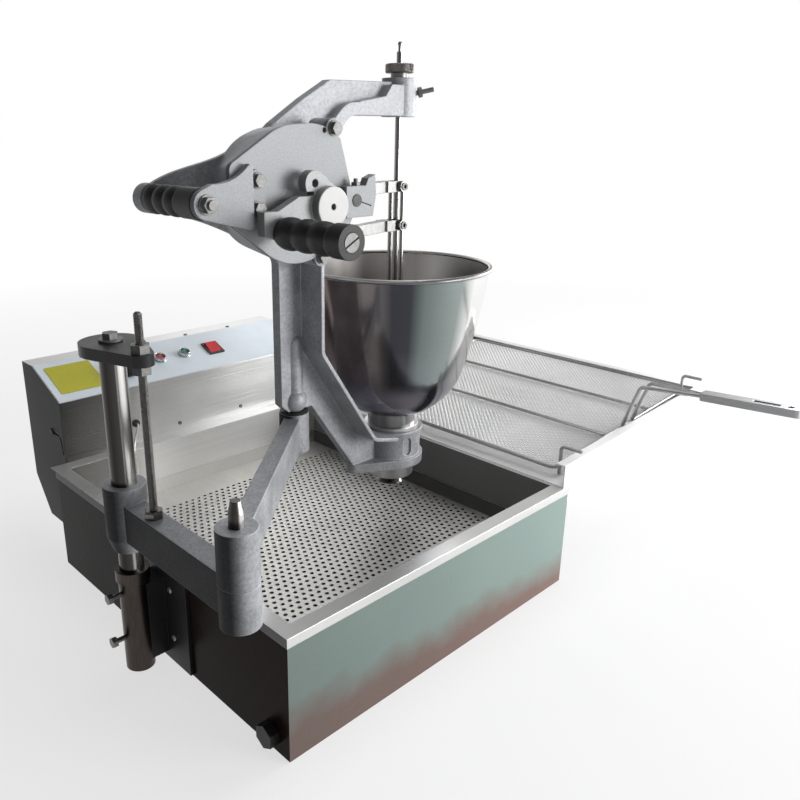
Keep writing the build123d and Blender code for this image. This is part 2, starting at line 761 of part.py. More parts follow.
def thermostat_knob():
    top = KNOB_H - KNOB_SKIRT
    body = Pos(0, 0, KNOB_GAP + KNOB_SKIRT / 2) * Cylinder(KNOB_R, KNOB_SKIRT)
    middle = Pos(0, 0, KNOB_GAP + KNOB_SKIRT + top / 2)
    body += middle * Cylinder(KNOB_R - KNOB_SKIRT, top)
    body += middle * Box(KNOB_R * 0.4, 2 * KNOB_R - KNOB_SKIRT, top)
    body += Pos(0, 0, -THERMOSTAT_H / 4) * Cylinder(KNOB_SHAFT_R, THERMOSTAT_H / 2 + 2 * KNOB_GAP)
    return on_panel(KNOB_X, KNOB_S, FILM_T) * body


def thermostat_body():
    body = Pos(0, 0, -BOX_T - FILM_T - THERMOSTAT_H / 2) * Box(THERMOSTAT_W, THERMOSTAT_W, THERMOSTAT_H)
    body -= Cylinder(KNOB_SHAFT_R + FREE, 2 * (THERMOSTAT_H - KNOB_SHAFT_R))
    return on_panel(KNOB_X, KNOB_S, FILM_T) * body


def thermostat_bulb():
    x = GROMMET_X - BULB_SIDE
    y = TANK_BACK - BULB_R
    out, aside, over, under, bend = CAPILLARY_BENDS
    points = ((GROMMET_X, BOX_FRONT + 4 * GROMMET_OUT, GROMMET_Z), (GROMMET_X, BOX_FRONT - out, GROMMET_Z),
              (GROMMET_X - aside, TANK_BACK + out, TANK_H + over), (x, y, TANK_H - under),
              (x, y, BULB_TOP - CAPILLARY_R))
    return upright(x, y, BULB_R, BULB_LOW, BULB_TOP) + wire(points, CAPILLARY_R, bend)


def capillary_grommet():
    ring = along_y(GROMMET_X, GROMMET_Z, GROMMET_R, BOX_FRONT - GROMMET_OUT, BOX_FRONT)
    ring += along_y(GROMMET_X, GROMMET_Z, GROMMET_NECK_R, BOX_FRONT, BOX_FRONT + BOX_T)
    return ring - along_y(GROMMET_X, GROMMET_Z, CAPILLARY_R + FREE, BOX_FRONT - 2 * GROMMET_OUT, BOX_BACK)


def contactor():
    wide, deep, tall = CONTACTOR_SIZE
    x, z = CONTACTOR_X, CONTACTOR_Z
    back = BOX_FRONT + BOX_T
    body = box(x, x + wide, back, back + deep, z, z + tall)
    face = back + deep
    return body + box(x + COIL_STEP / 2, x + wide - COIL_STEP / 2, face, face + COIL_STEP, z + COIL_STEP,
                      z + tall - COIL_STEP)


def case_screws():
    screws = []
    for share in FRONT_SCREWS:
        x = share * TANK_W
        screws.append(along_y(x, TANK_H + FRONT_SCREW_UP, SCREW_R, BOX_FRONT - SCREW_HEAD, BOX_FRONT))
    back = BOX_BACK + BOX_T
    for x in (BOX_X0 + BACK_SCREW_INSET, BOX_X1 - BACK_SCREW_INSET):
        for z in (BOX_LOW + CHAMFER_RISE + BACK_SCREW_INSET, PANEL_Z1 - BACK_SCREW_INSET):
            screws.append(along_y(x, z, SCREW_R, back, back + SCREW_HEAD))
    y, z = slot_point(SLOT_FROM)
    screws.append(along_x(y, z, SIDE_SCREW_R, BOX_X0 - SCREW_HEAD, BOX_X0))
    return screws


# the drain tray and the frying net


def floor_z(x):
    """Height of the tray floor's top face at x."""
    return FLOOR_Z0 + TRAY_T + TRAY_RISE * max(0.0, x - TANK_W) / TRAY_LEN


def net_z(x):
    """Height of the net's frame wire axis at x."""
    return floor_z(x) + NET_LIFT


def tray_gussets():
    """Two triangles under the tray that bear on the case's side."""
    far = FLOOR_Z0 + TRAY_RISE * GUSSET_LEG / TRAY_LEN
    low = FLOOR_Z0 - GUSSET_DROP
    tip = TANK_W + GUSSET_LEG
    face = outline((TANK_W, low), (TANK_W + GUSSET_TIP, low), (tip, far - GUSSET_TIP), (tip, far),
                   (TANK_W, FLOOR_Z0))
    near = TRAY_Y0 + TRAY_T
    back = TRAY_Y1 - TRAY_T
    return side_plate(face, near, near + GUSSET_T) + side_plate(face, back - GUSSET_T, back)


def drain_tray():
    corner = (TANK_W, FLOOR_Z0)
    far_low = (TRAY_X1, FLOOR_Z1)
    floor = outline((TRAY_LIP_X, FLOOR_Z0), corner, far_low, (TRAY_X1, FLOOR_Z1 + TRAY_T),
                    (TANK_W, FLOOR_Z0 + TRAY_T), (TRAY_LIP_X, FLOOR_Z0 + TRAY_T))
    wall = outline((TRAY_LIP_X, FLOOR_Z0), corner, far_low, (TRAY_X1, TRAY_RIM_Z1), (TRAY_LIP_X, TRAY_RIM_Z0))
    rim = outline((TRAY_LIP_X, TRAY_RIM_Z0 - TRAY_T), (TRAY_X1, TRAY_RIM_Z1 - TRAY_T), (TRAY_X1, TRAY_RIM_Z1),
                  (TRAY_LIP_X, TRAY_RIM_Z0))
    inside = box(TRAY_LIP_X - TRAY_T, TRAY_X1 - TRAY_TURN, TRAY_Y0 + TRAY_TURN, TRAY_Y1 - TRAY_TURN,
                 FLOOR_Z0, 2 * TRAY_RIM_Z1)
    body = side_plate(rim, TRAY_Y0, TRAY_Y1) - inside
    body += side_plate(floor, TRAY_Y0, TRAY_Y1)
    body += side_plate(wall, TRAY_Y0, TRAY_Y0 + TRAY_T)
    body += side_plate(wall, TRAY_Y1 - TRAY_T, TRAY_Y1)
    body += box(TRAY_X1 - TRAY_T, TRAY_X1, TRAY_Y0, TRAY_Y1, FLOOR_Z1, TRAY_RIM_Z1)
    return body + tray_gussets()


def handle_wires():
    """Two wires from the net's front side, up and out, that close into the grip."""
    wires = Part()
    top = net_z(HANDLE_X) + WIRE_R + HANDLE_RISE
    y = NET_Y0 - HANDLE_OUT
    neck = top + HANDLE_LIFT
    slope = HANDLE_LIFT / HANDLE_REACH
    for side in (-0.5, 0.5):
        x = HANDLE_X + side * HANDLE_GAP
        near = HANDLE_X + side * HANDLE_NECK
        ends = (near, NET_Y0 - HANDLE_REACH - HANDLE_TAIL, neck + HANDLE_TAIL * slope)
        foot = (x, NET_Y0, net_z(x) + WIRE_R - NET_WELD)
        points = (foot, (x, y, top), (near, NET_Y0 - HANDLE_REACH, neck), ends)
        wires += wire(points, HANDLE_R, HANDLE_BEND)
    return wires


def net_frame():
    corners = ((NET_X0, NET_Y0), (NET_X1, NET_Y0), (NET_X1, NET_Y1), (NET_X0, NET_Y1))
    path = FilletPolyline(*[(x, y, net_z(x)) for x, y in corners], radius=NET_CORNER_R, close=True)
    body = sweep(Plane(origin=path @ 0, z_dir=path % 0) * Circle(WIRE_R), path=path)
    third = (NET_X1 - NET_X0) / 3
    for x in (NET_X0 + third, NET_X0 + 2 * third):
        z = net_z(x) + WIRE_R + NET_BAR_R - NET_WELD
        body += wire(((x, NET_Y0, z), (x, NET_Y1, z)), NET_BAR_R, HOOK_BEND)
    for x in (NET_X0 + HOOK_INSET, NET_X1 - HOOK_INSET):
        for y, out in ((NET_Y0, -1), (NET_Y1, 1)):
            top = net_z(x) + HOOK_RISE
            points = ((x, y, floor_z(x) + NET_FOOT_GAP), (x, y, top), (x, y + out * HOOK_REACH, top))
            body += wire(points, NET_BAR_R, HOOK_BEND)
    return body + handle_wires()


def net_mesh():
    half = NET_MESH_T / 2
    xa, xb = NET_X0 + WIRE_R, NET_X1 - WIRE_R
    ya, yb = NET_Y0 + WIRE_R, NET_Y1 - WIRE_R
    low, high = net_z(xa), net_z(xb)
    sheet = outline((xa, low - half), (xb, high - half), (xb, high + half), (xa, low + half))
    step_x = (xb - xa) / NET_CELLS
    step_y = (yb - ya) / NET_CELLS
    cells = []
    for i in range(NET_CELLS):
        for j in range(NET_CELLS):
            centre = Pos(xa + (i + 0.5) * step_x, ya + (j + 0.5) * step_y)
            cells.append(centre * Rectangle(step_x - NET_STRAND, step_y - NET_STRAND))
    corners = Part()
    for x in (xa, xb):
        for y in (ya, yb):
            corners += upright(x, y, NET_CORNER_R, FLOOR_Z0, 2 * TRAY_RIM_Z1)
    holes = extrude(Pos(0, 0, FLOOR_Z0) * Sketch(children=cells), amount=TRAY_RIM_Z1)
    return side_plate(sheet, ya, yb) - holes - corners


def net_grip():
    shape = fillet(Box(GRIP_W, GRIP_LEN, GRIP_H).edges().filter_by(Axis.Z), GRIP_ROUND)
    shape -= Pos(0, -GRIP_LEN / 6, 0) * Box(*GRIP_SLOT, 2 * GRIP_H)
    shape -= Pos(0, GRIP_HOLE_IN - GRIP_LEN / 2, 0) * Cylinder(GRIP_HOLE_R, 2 * GRIP_H)
    near = NET_Y0 - HANDLE_REACH
    neck = net_z(HANDLE_X) + WIRE_R + HANDLE_RISE + HANDLE_LIFT
    lift = GRIP_LEN / 2 * sin(radians(GRIP_TILT))
    place = Pos(HANDLE_X, near - GRIP_LEN / 2, neck + lift) * Rot(-GRIP_TILT, 0, 0)
    return place * shape - handle_wires()


# the post and the arms


def post_socket():
    tube = upright(POST_X, POST_Y, SOCKET_R, SOCKET_LOW, SOCKET_TOP)
    tube += upright(POST_X, POST_Y, SOCKET_R + SOCKET_COLLAR, SOCKET_TOP - SOCKET_COLLAR_H, SOCKET_TOP)
    for z in SET_SCREWS:
        tube -= along_x(POST_Y, z, SET_SCREW_R, POST_X - 2 * SOCKET_R, POST_X)
    return tube - upright(POST_X, POST_Y, POST_R + RUN, SOCKET_LOW + SOCKET_FLOOR, 2 * SOCKET_TOP)


def socket_bracket():
    face = SHEET - SOCKET_PLATE_T
    plate = box(face, SHEET, POST_Y - SOCKET_PLATE_FRONT, POST_Y + SOCKET_PLATE_BACK, SOCKET_LOW,
                SOCKET_TOP)
    half = SOCKET_BLOCK_W / 2
    block = box(POST_X, face, POST_Y - half, POST_Y + half, SOCKET_BLOCK_LOW, SOCKET_BLOCK_TOP)
    return plate + block - upright(POST_X, POST_Y, SOCKET_R, 0, TANK_H)


def set_screws():
    screws = []
    tip = POST_X - POST_R - RUN
    head = tip - SET_SCREW_LEN
    for z in SET_SCREWS:
        screw = along_x(POST_Y, z, SET_SCREW_R, head, tip)
        screw += Pos(head, POST_Y, z) * Rot(0, -90, 0) * hexagon(SET_SCREW_FLATS, SET_SCREW_HEAD)
        screws.append(screw)
    return screws


CAP_TOP = CAP_Z0 + CAP_T


def post():
    bar = upright(POST_X, POST_Y, POST_R, SOCKET_LOW + SOCKET_FLOOR, CAP_Z0 - FREE)
    bar += upright(POST_X, POST_Y, SPIGOT_R, CAP_Z0 - FREE, CAP_TOP + FREE)
    return chamfer(bar.edges().filter_by(GeomType.CIRCLE).sort_by(Axis.Z)[0], POST_CHAMFER)


def cap_bolt():
    top = CAP_TOP + FREE
    washer = upright(POST_X, POST_Y, CAP_WASHER_R, top, top + CAP_WASHER_T)
    return washer + Pos(POST_X, POST_Y, top + CAP_WASHER_T) * hexagon(CAP_BOLT_FLATS, CAP_BOLT_H)


def cap_plate():
    shape = round_hull((POST_X, POST_Y, CAP_BIG_R), (POST_X, ROD_Y, CAP_SMALL_R))
    body = extrude(Pos(0, 0, CAP_Z0) * shape, amount=CAP_T)
    body -= upright(POST_X, POST_Y, SPIGOT_R + RUN, CAP_Z0 - CAP_T, CAP_TOP + CAP_T)
    return body - upright(POST_X, ROD_Y, ROD_R + FREE, CAP_Z0 - CAP_T, CAP_TOP + CAP_T)


def rod_nuts():
    bore = upright(POST_X, ROD_Y, ROD_R + FREE, CAP_Z0 - 2 * NUT_H, CAP_TOP + 2 * NUT_H)
    return [Pos(POST_X, ROD_Y, z) * hexagon(NUT_FLATS, NUT_H) - bore for z in (CAP_Z0 - NUT_H, CAP_TOP)]


def height_rod():
    rod = upright(POST_X, ROD_Y, ROD_R, BEAM_Z1 - ROD_SEAT, ROD_TOP)
    return rod + Pos(POST_X, ROD_Y, BEAM_Z1) * hexagon(NUT_FLATS, NUT_H)


def lower_arm():
    body = upright(POST_X, POST_Y, ARM_BOSS_R, ARM_BOSS_Z0 + ARM_BOSS_CONE, ARM_BOSS_Z1)
    cone = Cone(POST_R + ARM_BOSS_WALL, ARM_BOSS_R, ARM_BOSS_CONE)
    body += Pos(POST_X, POST_Y, ARM_BOSS_Z0 + ARM_BOSS_CONE / 2) * cone
    body += box(POST_X - BEAM_W / 2, POST_X + BEAM_W / 2, ELBOW_Y, POST_Y, BEAM_Z0, BEAM_Z1)
    body += upright(ELBOW_X, ELBOW_Y, ELBOW_R, ELBOW_LOW, ELBOW_MID)
    body -= upright(ELBOW_X, ELBOW_Y, ELBOW_R + 2 * FREE, ELBOW_MID, ELBOW_TOP)
    body -= upright(POST_X, POST_Y, POST_R + RUN, SOCKET_TOP, CAP_Z0)
    body -= upright(POST_X, ROD_Y, ROD_R, BEAM_Z1 - ROD_SEAT, CAP_Z0)
    return body - upright(ELBOW_X, ELBOW_Y, PIN_R, ELBOW_LOW + ELBOW_FLOOR, ELBOW_TOP)


def elbow_pin():
    pin = upright(ELBOW_X, ELBOW_Y, PIN_R, ELBOW_LOW + ELBOW_FLOOR, PIN_TOP - PIN_TAPER)
    return pin + Pos(ELBOW_X, ELBOW_Y, PIN_TOP - PIN_TAPER / 2) * Cone(PIN_R, PIN_R - PIN_TIP, PIN_TAPER)


ARM2_LEN = hypot(WRIST_X - ELBOW_X, WRIST_Y - ELBOW_Y)
ARM2_DIR = degrees(atan2(WRIST_Y - ELBOW_Y, WRIST_X - ELBOW_X))


def upper_arm():
    body = upright(ELBOW_X, ELBOW_Y, ELBOW_R, ELBOW_MID + FREE, ELBOW_TOP)
    body += upright(WRIST_X, WRIST_Y, WRIST_R, WRIST_Z0, WRIST_Z1)
    half = ARM2_LEN / 2
    low = BEAM_Z1 + ARM2_LIFT
    beam = outline((-half, low), (-half, ELBOW_TOP - ARM2_STEP), (half, WRIST_Z1 - ARM2_STEP), (half, low))
    middle = Pos((ELBOW_X + WRIST_X) / 2, (ELBOW_Y + WRIST_Y) / 2, 0) * Rot(0, 0, ARM2_DIR)
    body += middle * extrude(Plane.XZ * beam, amount=ARM2_W / 2, both=True)
    body -= upright(ELBOW_X, ELBOW_Y, PIN_R + RUN, ELBOW_LOW, PIN_TOP)
    return body - upright(WRIST_X, WRIST_Y, WRIST_PIN_R, WRIST_Z0 + WRIST_PIN_SEAT, WRIST_PIN_TOP)


def wrist_pin():
    return upright(WRIST_X, WRIST_Y, WRIST_PIN_R, WRIST_Z0 + WRIST_PIN_SEAT, WRIST_PIN_TOP)


def wrist_washer():
    top = WRIST_Z1 + WASHER_T
    ring = upright(WRIST_X, WRIST_Y, WRIST_R - WASHER_IN, WRIST_Z1, top)
    return ring - upright(WRIST_X, WRIST_Y, WRIST_PIN_R + RUN, WRIST_Z0, WRIST_PIN_TOP)


# the depositor's frame


def from_drum(place):
    """A point in X and Z given from the drum's axis."""
    return (DRUM_X + place[0], DRUM_Z + place[1])


def right_of_drum(y0, y1):
    """The drum's open side, to the right of a slanted line."""
    low = from_drum(CUT_LOW)
    top = from_drum(CUT_TOP)
    below = DRUM_Z - 2 * DRUM_R
    right = DRUM_X + 2 * DRUM_R
    return side_plate(outline(top, low, (low[0], below), (right, below), (right, top[1])), y0, y1)


def drum_outline(inset=0.0, back=0.0):
    """The drum's outline in X and Z, at its front or back: a disc that widens to two corners on its left."""
    circles = []
    for front, less in zip(((0.0, 0.0, DRUM_R), DRUM_SHOULDER) + DRUM_CORNERS, DRUM_NARROW):
        x, z, radius = (a + back * b for a, b in zip(front, less))
        circles.append((*from_drum((x, z)), radius - inset))
    return round_hull(*circles)


def drafted(inset):
    """The drum from its back wall forward, wider towards the front and most of all to the left."""
    faces = []
    for y, back in ((DRUM_Y1, 1.0), (DRUM_Y0, 0.0)):
        plane = Plane(origin=(0, y, 0), x_dir=(1, 0, 0), z_dir=(0, -1, 0))
        faces.append(plane * drum_outline(inset, back))
    return loft(faces, ruled=True)


def drum_hollow():
    """The space inside the drum, in front of its back wall."""
    return drafted(DRUM_WALL) & front_of(DRUM_Y1 - DRUM_BACK_T)


def drum():
    """A drum with draft, open on the front and the right, with lugs for the cover's bolts."""
    inside = DRUM_Y1 - DRUM_BACK_T
    shell = drafted(0) - drum_hollow()
    for place in COVER_BOLTS:
        shell += along_y(*from_drum(place), LUG_R, DRUM_Y0, DRUM_Y0 + LUG_DEPTH)
    for place in BRACKET_BOLTS:
        shell += along_y(*from_drum(place), LUG_R, DRUM_Y0, DRUM_Y0 + BRACKET_LUG_DEPTH)
    shell -= right_of_drum(COVER_Y0, inside)
    window = ROCK_HUB_R + DRUM_WINDOW
    half = ROCK_HUB_HALF + DRUM_WINDOW
    low, top = ROCK_Z - 2 * window, ROCK_Z + 2 * window
    return shell - box(ROCK_X - window, ROCK_X + 2 * window, YC - half, YC + half, low, top)


def front_of(y):
    """Everything round the drum in front of y."""
    reach = 2 * DRUM_R
    return box(DRUM_X - reach, DRUM_X + reach, 0, y, DRUM_Z - reach, DRUM_Z + reach)


def column():
    """The upright web with its wide front flange, the slanted leg and the wrist's boss."""
    join = AXIS_X - CYL_R
    web = outline((COL_BACK, COL_TOP), (COL_BACK, COL_LOW + COL_CORNER), (COL_BACK + COL_CORNER, COL_LOW),
                  (WRIST_X + LEG_ROOT, COL_LOW), (LEG_X - 2 * LAP, LEG_LOW), (join, RING_Z0 + LAP / 2),
                  (join, RING_Z1 - LAP), (LEG_X, LEG_TOP), (FLANGE_X, FLANGE_TURN_Z), (FLANGE_X, COL_TOP))
    x, z = COL_BACK - COL_FILLET, DRUM_Z - DRUM_R - COL_FILLET
    corner = outline((x, z), (x + 2 * COL_FILLET, z), (x + 2 * COL_FILLET, z + 2 * COL_FILLET),
                     (x, z + 2 * COL_FILLET)) - Pos(x, z) * Circle(COL_FILLET)
    body = side_plate(web, YC - WEB_T / 2, YC + WEB_T / 2)
    body += side_plate(corner, YC - WEB_T / 2, YC + WEB_T / 2)
    path = FilletPolyline((FLANGE_X, COL_TOP - FLANGE_T), (FLANGE_X, FLANGE_TURN_Z),
                          (LEG_X + LAP / 2, LEG_TOP - LAP), (join, RING_Z1 - 2 * LAP), radius=FLANGE_BEND)
    body += side_plate(trace(path, line_width=FLANGE_T), YC - FLANGE_HALF, YC + FLANGE_HALF)
    body += upright(WRIST_X, YC, RIB_R, BALL_Z, RIB_TOP) + Pos(WRIST_X, YC, RIB_TOP) * Sphere(RIB_R)
    floor = WRIST_Z1 + WASHER_T + FREE
    ball = Pos(WRIST_X, YC, BALL_Z) * Sphere(BALL_R)
    return body + (ball & upright(WRIST_X, YC, 2 * BALL_R, floor, RIB_TOP))


def ring_holder():
    body = upright(AXIS_X, YC, RING_R, RING_Z0, RING_Z1)
    body += upright(AXIS_X, YC, RING_R + RING_LIP, RING_Z1 - RING_LIP_H, RING_Z1)
    foot = round_hull((AXIS_X, YC, RING_FLANGE_R), (RING_TAIL_X, YC, RING_TAIL_R))
    body += extrude(Pos(0, 0, RING_Z0) * foot, amount=RING_FLANGE_T)
    middle = (RING_Z0 + RING_FLANGE_T + RING_Z1 - RING_LIP_H) / 2
    pocket = extrude(Plane.XZ * SlotOverall(*POCKET, rotation=90), amount=2 * POCKET_DEPTH)
    return body - Pos(AXIS_X, YC, middle) * Rot(0, 0, POCKET_TURN) * Pos(0, POCKET_DEPTH - RING_R, 0) * pocket


def top_arm():
    """The arm over the hopper: a web with a flange along its underside, and the clamp head."""
    end = AXIS_X - HEAD_R / 2
    upper = [from_drum(place) for place in TOP_ARM_EDGE]
    lower = [from_drum(place) for place in TOP_ARM_UNDER]
    web = outline(*upper, (end, TOP_ARM_Z1), (end, TOP_ARM_Z0), *lower)
    body = side_plate(web, YC - WEB_T / 2, YC + WEB_T / 2)
    along = [from_drum(place) for place in TOP_FLANGE_EDGE]
    under = FilletPolyline(*along, (end, TOP_ARM_Z0 + TOP_FLANGE_T / 2 - LAP / 2), radius=2 * TOP_FLANGE_T)
    body += side_plate(trace(under, line_width=TOP_FLANGE_T), YC - TOP_FLANGE_HALF, YC + TOP_FLANGE_HALF)
    rise = [(AXIS_X + x, z) for x, z in HEAD_BLOCK]
    block = outline((rise[0][0], TOP_ARM_Z0), *rise, (AXIS_X, rise[-1][1]), (AXIS_X, TOP_ARM_Z0))
    body += side_plate(block, YC - TOP_FLANGE_HALF, YC + TOP_FLANGE_HALF)
    return body + upright(AXIS_X, YC, HEAD_R, HEAD_Z0, HEAD_Z1)


def back_arm():
    """The arm that leans back from the drum to the far end of the fixed grip."""
    root = DRUM_Y1 - BACK_ARM_T
    run = BACK_ARM_X - GRIP_X
    lean = GRIP_BACK_Y + 1 - root
    length = hypot(run, lean)
    plane = Plane(origin=(BACK_ARM_X, root, 0), x_dir=(-run / length, lean / length, 0),
                  z_dir=(lean / length, run / length, 0))
    end_half = FIXED_GRIP_R - LAP / 2
    top = [(share * length, DRUM_Z + up) for share, up in BACK_ARM_UPPER]
    bottom = [(share * length, DRUM_Z + up) for share, up in BACK_ARM_LOWER]
    upper = Spline(*top, (length, GRIP_Z + end_half))
    lower = Spline((length, GRIP_Z - end_half), *bottom)
    edges = [upper, Line(upper @ 1, lower @ 0), lower, Line(lower @ 1, upper @ 0)]
    arm = extrude(plane * make_face(edges), amount=BACK_ARM_T)
    arm -= drum_hollow()
    arm -= along_y(GRIP_X, GRIP_Z, FIXED_GRIP_R + FREE, COVER_Y0, GRIP_BACK_Y)
    return arm + along_y(GRIP_X, GRIP_Z, FIXED_GRIP_R, GRIP_BACK_Y, GRIP_BACK_Y + GRIP_BOSS_T)


def low_lugs():
    """Two ears on the column's flange that carry the lower fork."""
    ears = Part()
    shape = round_hull((ROCK_X, LOW_PIVOT_Z, LOW_HUB_R), (FLANGE_X + 2, LOW_PIVOT_Z - 4, LOW_HUB_R + 4))
    for side in (-1, 1):
        y = YC + side * LOW_LUG_Y
        ears += side_plate(shape, y - LOW_LUG_T / 2, y + LOW_LUG_T / 2)
    return ears - box(COL_BACK, FLANGE_X, YC - FLANGE_HALF, YC + FLANGE_HALF, 0, DRUM_Z)


def lock_frame():
    """The lock screw's own axes: local Z points out of the head."""
    return Pos(AXIS_X, YC, HEAD_Z1 - LOCK_DROP) * Rot(0, 0, LOCK_TURN) * Rot(0, 90 - LOCK_TILT, 0)


def frame_casting():
    body = drum() + column() + ring_holder() + top_arm() + back_arm() + low_lugs()
    body -= along_y(ROCK_X, LOW_PIVOT_Z, LOW_PIN_R, YC - FLANGE_HALF, YC + FLANGE_HALF)
    gap = LOW_LUG_Y - LOW_LUG_T / 2
    low, top = LOW_PIVOT_Z - 2 * FORK_H, LOW_PIVOT_Z + 2 * FORK_H
    body -= box(FLANGE_X + FLANGE_T, AXIS_X, YC - gap, YC + gap, low, top)
    shaft_end = DRUM_Y1 + SHAFT_OUT + 1
    body -= along_y(CRANK_X, CRANK_Z, CRANK_SHAFT_R + RUN, COVER_Y0, shaft_end)
    body -= along_y(ROCK_X, ROCK_Z, ROCK_R + RUN, COVER_Y0, shaft_end)
    body -= along_y(GRIP_X, GRIP_Z, GRIP_BOLT_R + RUN, COVER_Y0, GRIP_BACK_Y + 2 * GRIP_BOSS_T)
    body -= upright(WRIST_X, YC, WRIST_PIN_R + RUN, WRIST_Z0, WRIST_PIN_TOP + 1)
    body -= upright(AXIS_X, YC, CYL_R + RUN, 0, RING_Z1 + CYL_R)
    body -= upright(AXIS_X, YC, CENTRE_R + RUN, TOP_ARM_Z0 - HEAD_R, CENTRE_TOP)
    body -= lock_frame() * Pos(0, 0, HEAD_R) * Cylinder(LOCK_R, 2 * HEAD_R - 2 * LOCK_FROM)
    for place in COVER_BOLTS + BRACKET_BOLTS:
        body -= along_y(*from_drum(place), BOLT_R, COVER_Y0, DRUM_Y0 + BOLT_SEAT)
    return body


def front_cover():
    plate = side_plate(drum_outline(), COVER_Y0, DRUM_Y0)
    front, back = COVER_Y0 - COVER_T, DRUM_Y0 + COVER_T
    for place in COVER_BOLTS + BRACKET_BOLTS:
        plate += along_y(*from_drum(place), LUG_R, COVER_Y0, DRUM_Y0)
        plate -= along_y(*from_drum(place), BOLT_R + FREE, front, back)
    for place in COVER_HOLES:
        plate -= along_y(*from_drum(place), COVER_HOLE_R, front, back)
    plate -= right_of_drum(front, back)
    plate -= along_y(CRANK_X, CRANK_Z, CRANK_SHAFT_R + RUN, front, back)
    return plate - along_y(ROCK_X, ROCK_Z, ROCK_R + RUN, front, back)


def cover_bolts():
    bolts = []
    for place in COVER_BOLTS + BRACKET_BOLTS:
        x, z = from_drum(place)
        seat = BRACKET_FOOT_Y if place in BRACKET_BOLTS else COVER_Y0
        head = seat - BOLT_WASHER_T
        bolt = along_y(x, z, BOLT_R, seat, DRUM_Y0 + BOLT_SEAT - 1)
        bolt += along_y(x, z, BOLT_WASHER_R, head, seat)
        bolts.append(bolt + Pos(x, head, z) * Rot(90, 0, 0) * hexagon(BOLT_FLATS, BOLT_HEAD))
    return bolts


def handle_bracket():
    right = DRUM_X + BRACKET_RIGHT
    top, low = DRUM_Z + BRACKET_TOP, DRUM_Z + BRACKET_LOW
    corner = BRACKET_CORNER
    shape = round_hull((GRIP_X, GRIP_Z, BRACKET_R), (right - corner, top - corner, corner),
                       (right - corner, low + corner, corner))
    hollow = Pos(GRIP_X + BRACKET_HOLLOW[0], GRIP_Z + BRACKET_HOLLOW[1]) * Circle(BRACKET_HOLLOW[2])
    body = side_plate(shape - hollow, BRACKET_Y0, BRACKET_FOOT_Y)
    bolts = [(*from_drum(place), LUG_R) for place in BRACKET_BOLTS]
    edge = DRUM_X + DRUM_CORNERS[0][0]
    foot = round_hull(*bolts, (edge, bolts[0][1], corner), (edge, low + 2 * corner, corner))
    body += side_plate(foot, BRACKET_FOOT_Y, COVER_Y0)
    for place in BRACKET_BOLTS:
        body -= along_y(*from_drum(place), BOLT_R + FREE, BRACKET_Y0, DRUM_Y0)
    side = edge - DRUM_CORNERS[0][2] - FREE
    front, back = BRACKET_Y0, COVER_Y0 + BRACKET_LIP
    body += box(side - BRACKET_LIP_T, side, front, back, low + BRACKET_R, GRIP_Z + BRACKET_R)
    return body - along_y(GRIP_X, GRIP_Z, GRIP_BOLT_R + RUN, BRACKET_Y0 - BRACKET_T, DRUM_Y1)


def moulded_grip(length, radius, bump, bore, seat=None):
    """A grip along Z with three bulges from its foot and a plain end, which may be sunk for a screw head."""
    low = radius - GRIP_DIP
    lines = [Line((bore, 0), (low, 0))]
    for n in range(GRIP_BUMPS):
        lines.append(ThreePointArc((low, n * bump), (radius, (n + 0.5) * bump), (low, (n + 1) * bump)))
    groove = GRIP_BUMPS * bump
    swell = (radius - GRIP_DIP / 3, groove + GRIP_DIP)
    lines.append(Polyline((low, groove), swell, (radius, groove + 2 * GRIP_DIP), (radius, length)))
    if seat:
        across, deep = seat
        shelf = length - deep
        lines.append(Polyline((radius, length), (across, length), (across, shelf), (bore, shelf), (bore, 0)))
    else:
        lines.append(Polyline((radius, length), (bore, length), (bore, 0)))
    return revolve(Plane.XZ * make_face(lines), axis=Axis.Z)


def fixed_grip():
    length = GRIP_BACK_Y - BRACKET_FOOT_Y
    body = moulded_grip(length, FIXED_GRIP_R, FIXED_GRIP_BUMP, GRIP_BOLT_R + RUN)
    return Pos(GRIP_X, GRIP_BACK_Y, GRIP_Z) * Rot(90, 0, 0) * body


def grip_bolt():
    head = BRACKET_Y0 - BOLT_WASHER_T
    bolt = along_y(GRIP_X, GRIP_Z, GRIP_BOLT_R, head - 2 * GRIP_BOLT_R, GRIP_BACK_Y + GRIP_BOSS_T)
    bolt += along_y(GRIP_X, GRIP_Z, 2 * GRIP_BOLT_R, head, BRACKET_Y0)
    return bolt + Pos(GRIP_X, head, GRIP_Z) * Rot(90, 0, 0) * hexagon(3 * GRIP_BOLT_R, 1.4 * GRIP_BOLT_R)


def lower_pivot():
    reach = LOW_LUG_Y + LOW_LUG_T / 2 + LOW_PIN_OUT
    return along_y(ROCK_X, LOW_PIVOT_Z, LOW_PIN_R, YC - reach, YC + reach)


def lock_screw():
    length = HEAD_R + LOCK_OUT - LOCK_FROM
    screw = Pos(0, 0, LOCK_FROM + length / 2) * Cylinder(LOCK_R, length)
    return lock_frame() * (screw + Pos(0, 0, HEAD_R + LOCK_R) * hexagon(LOCK_FLATS, LOCK_NUT))


# hopper and dough cylinder

CYL_TOP = RING_Z1 + CYL_FLANGE_T


def bowl_wall(inset):
    """The bowl's side seen in section, from its rim down to its floor, as two arcs that run together."""
    top = (AXIS_X + BOWL_R - inset, CYL_TOP + BOWL_H)
    middle = (AXIS_X + BOWL_MID_R - inset, CYL_TOP + BOWL_MID_H)
    low = (AXIS_X + BOWL_FLOOR_R, CYL_TOP + BOWL_NECK_H + inset)
    upper = TangentArc(top, middle, tangent=(-BOWL_FLARE, -1))
    return upper, TangentArc(middle, low, tangent=upper % 1)


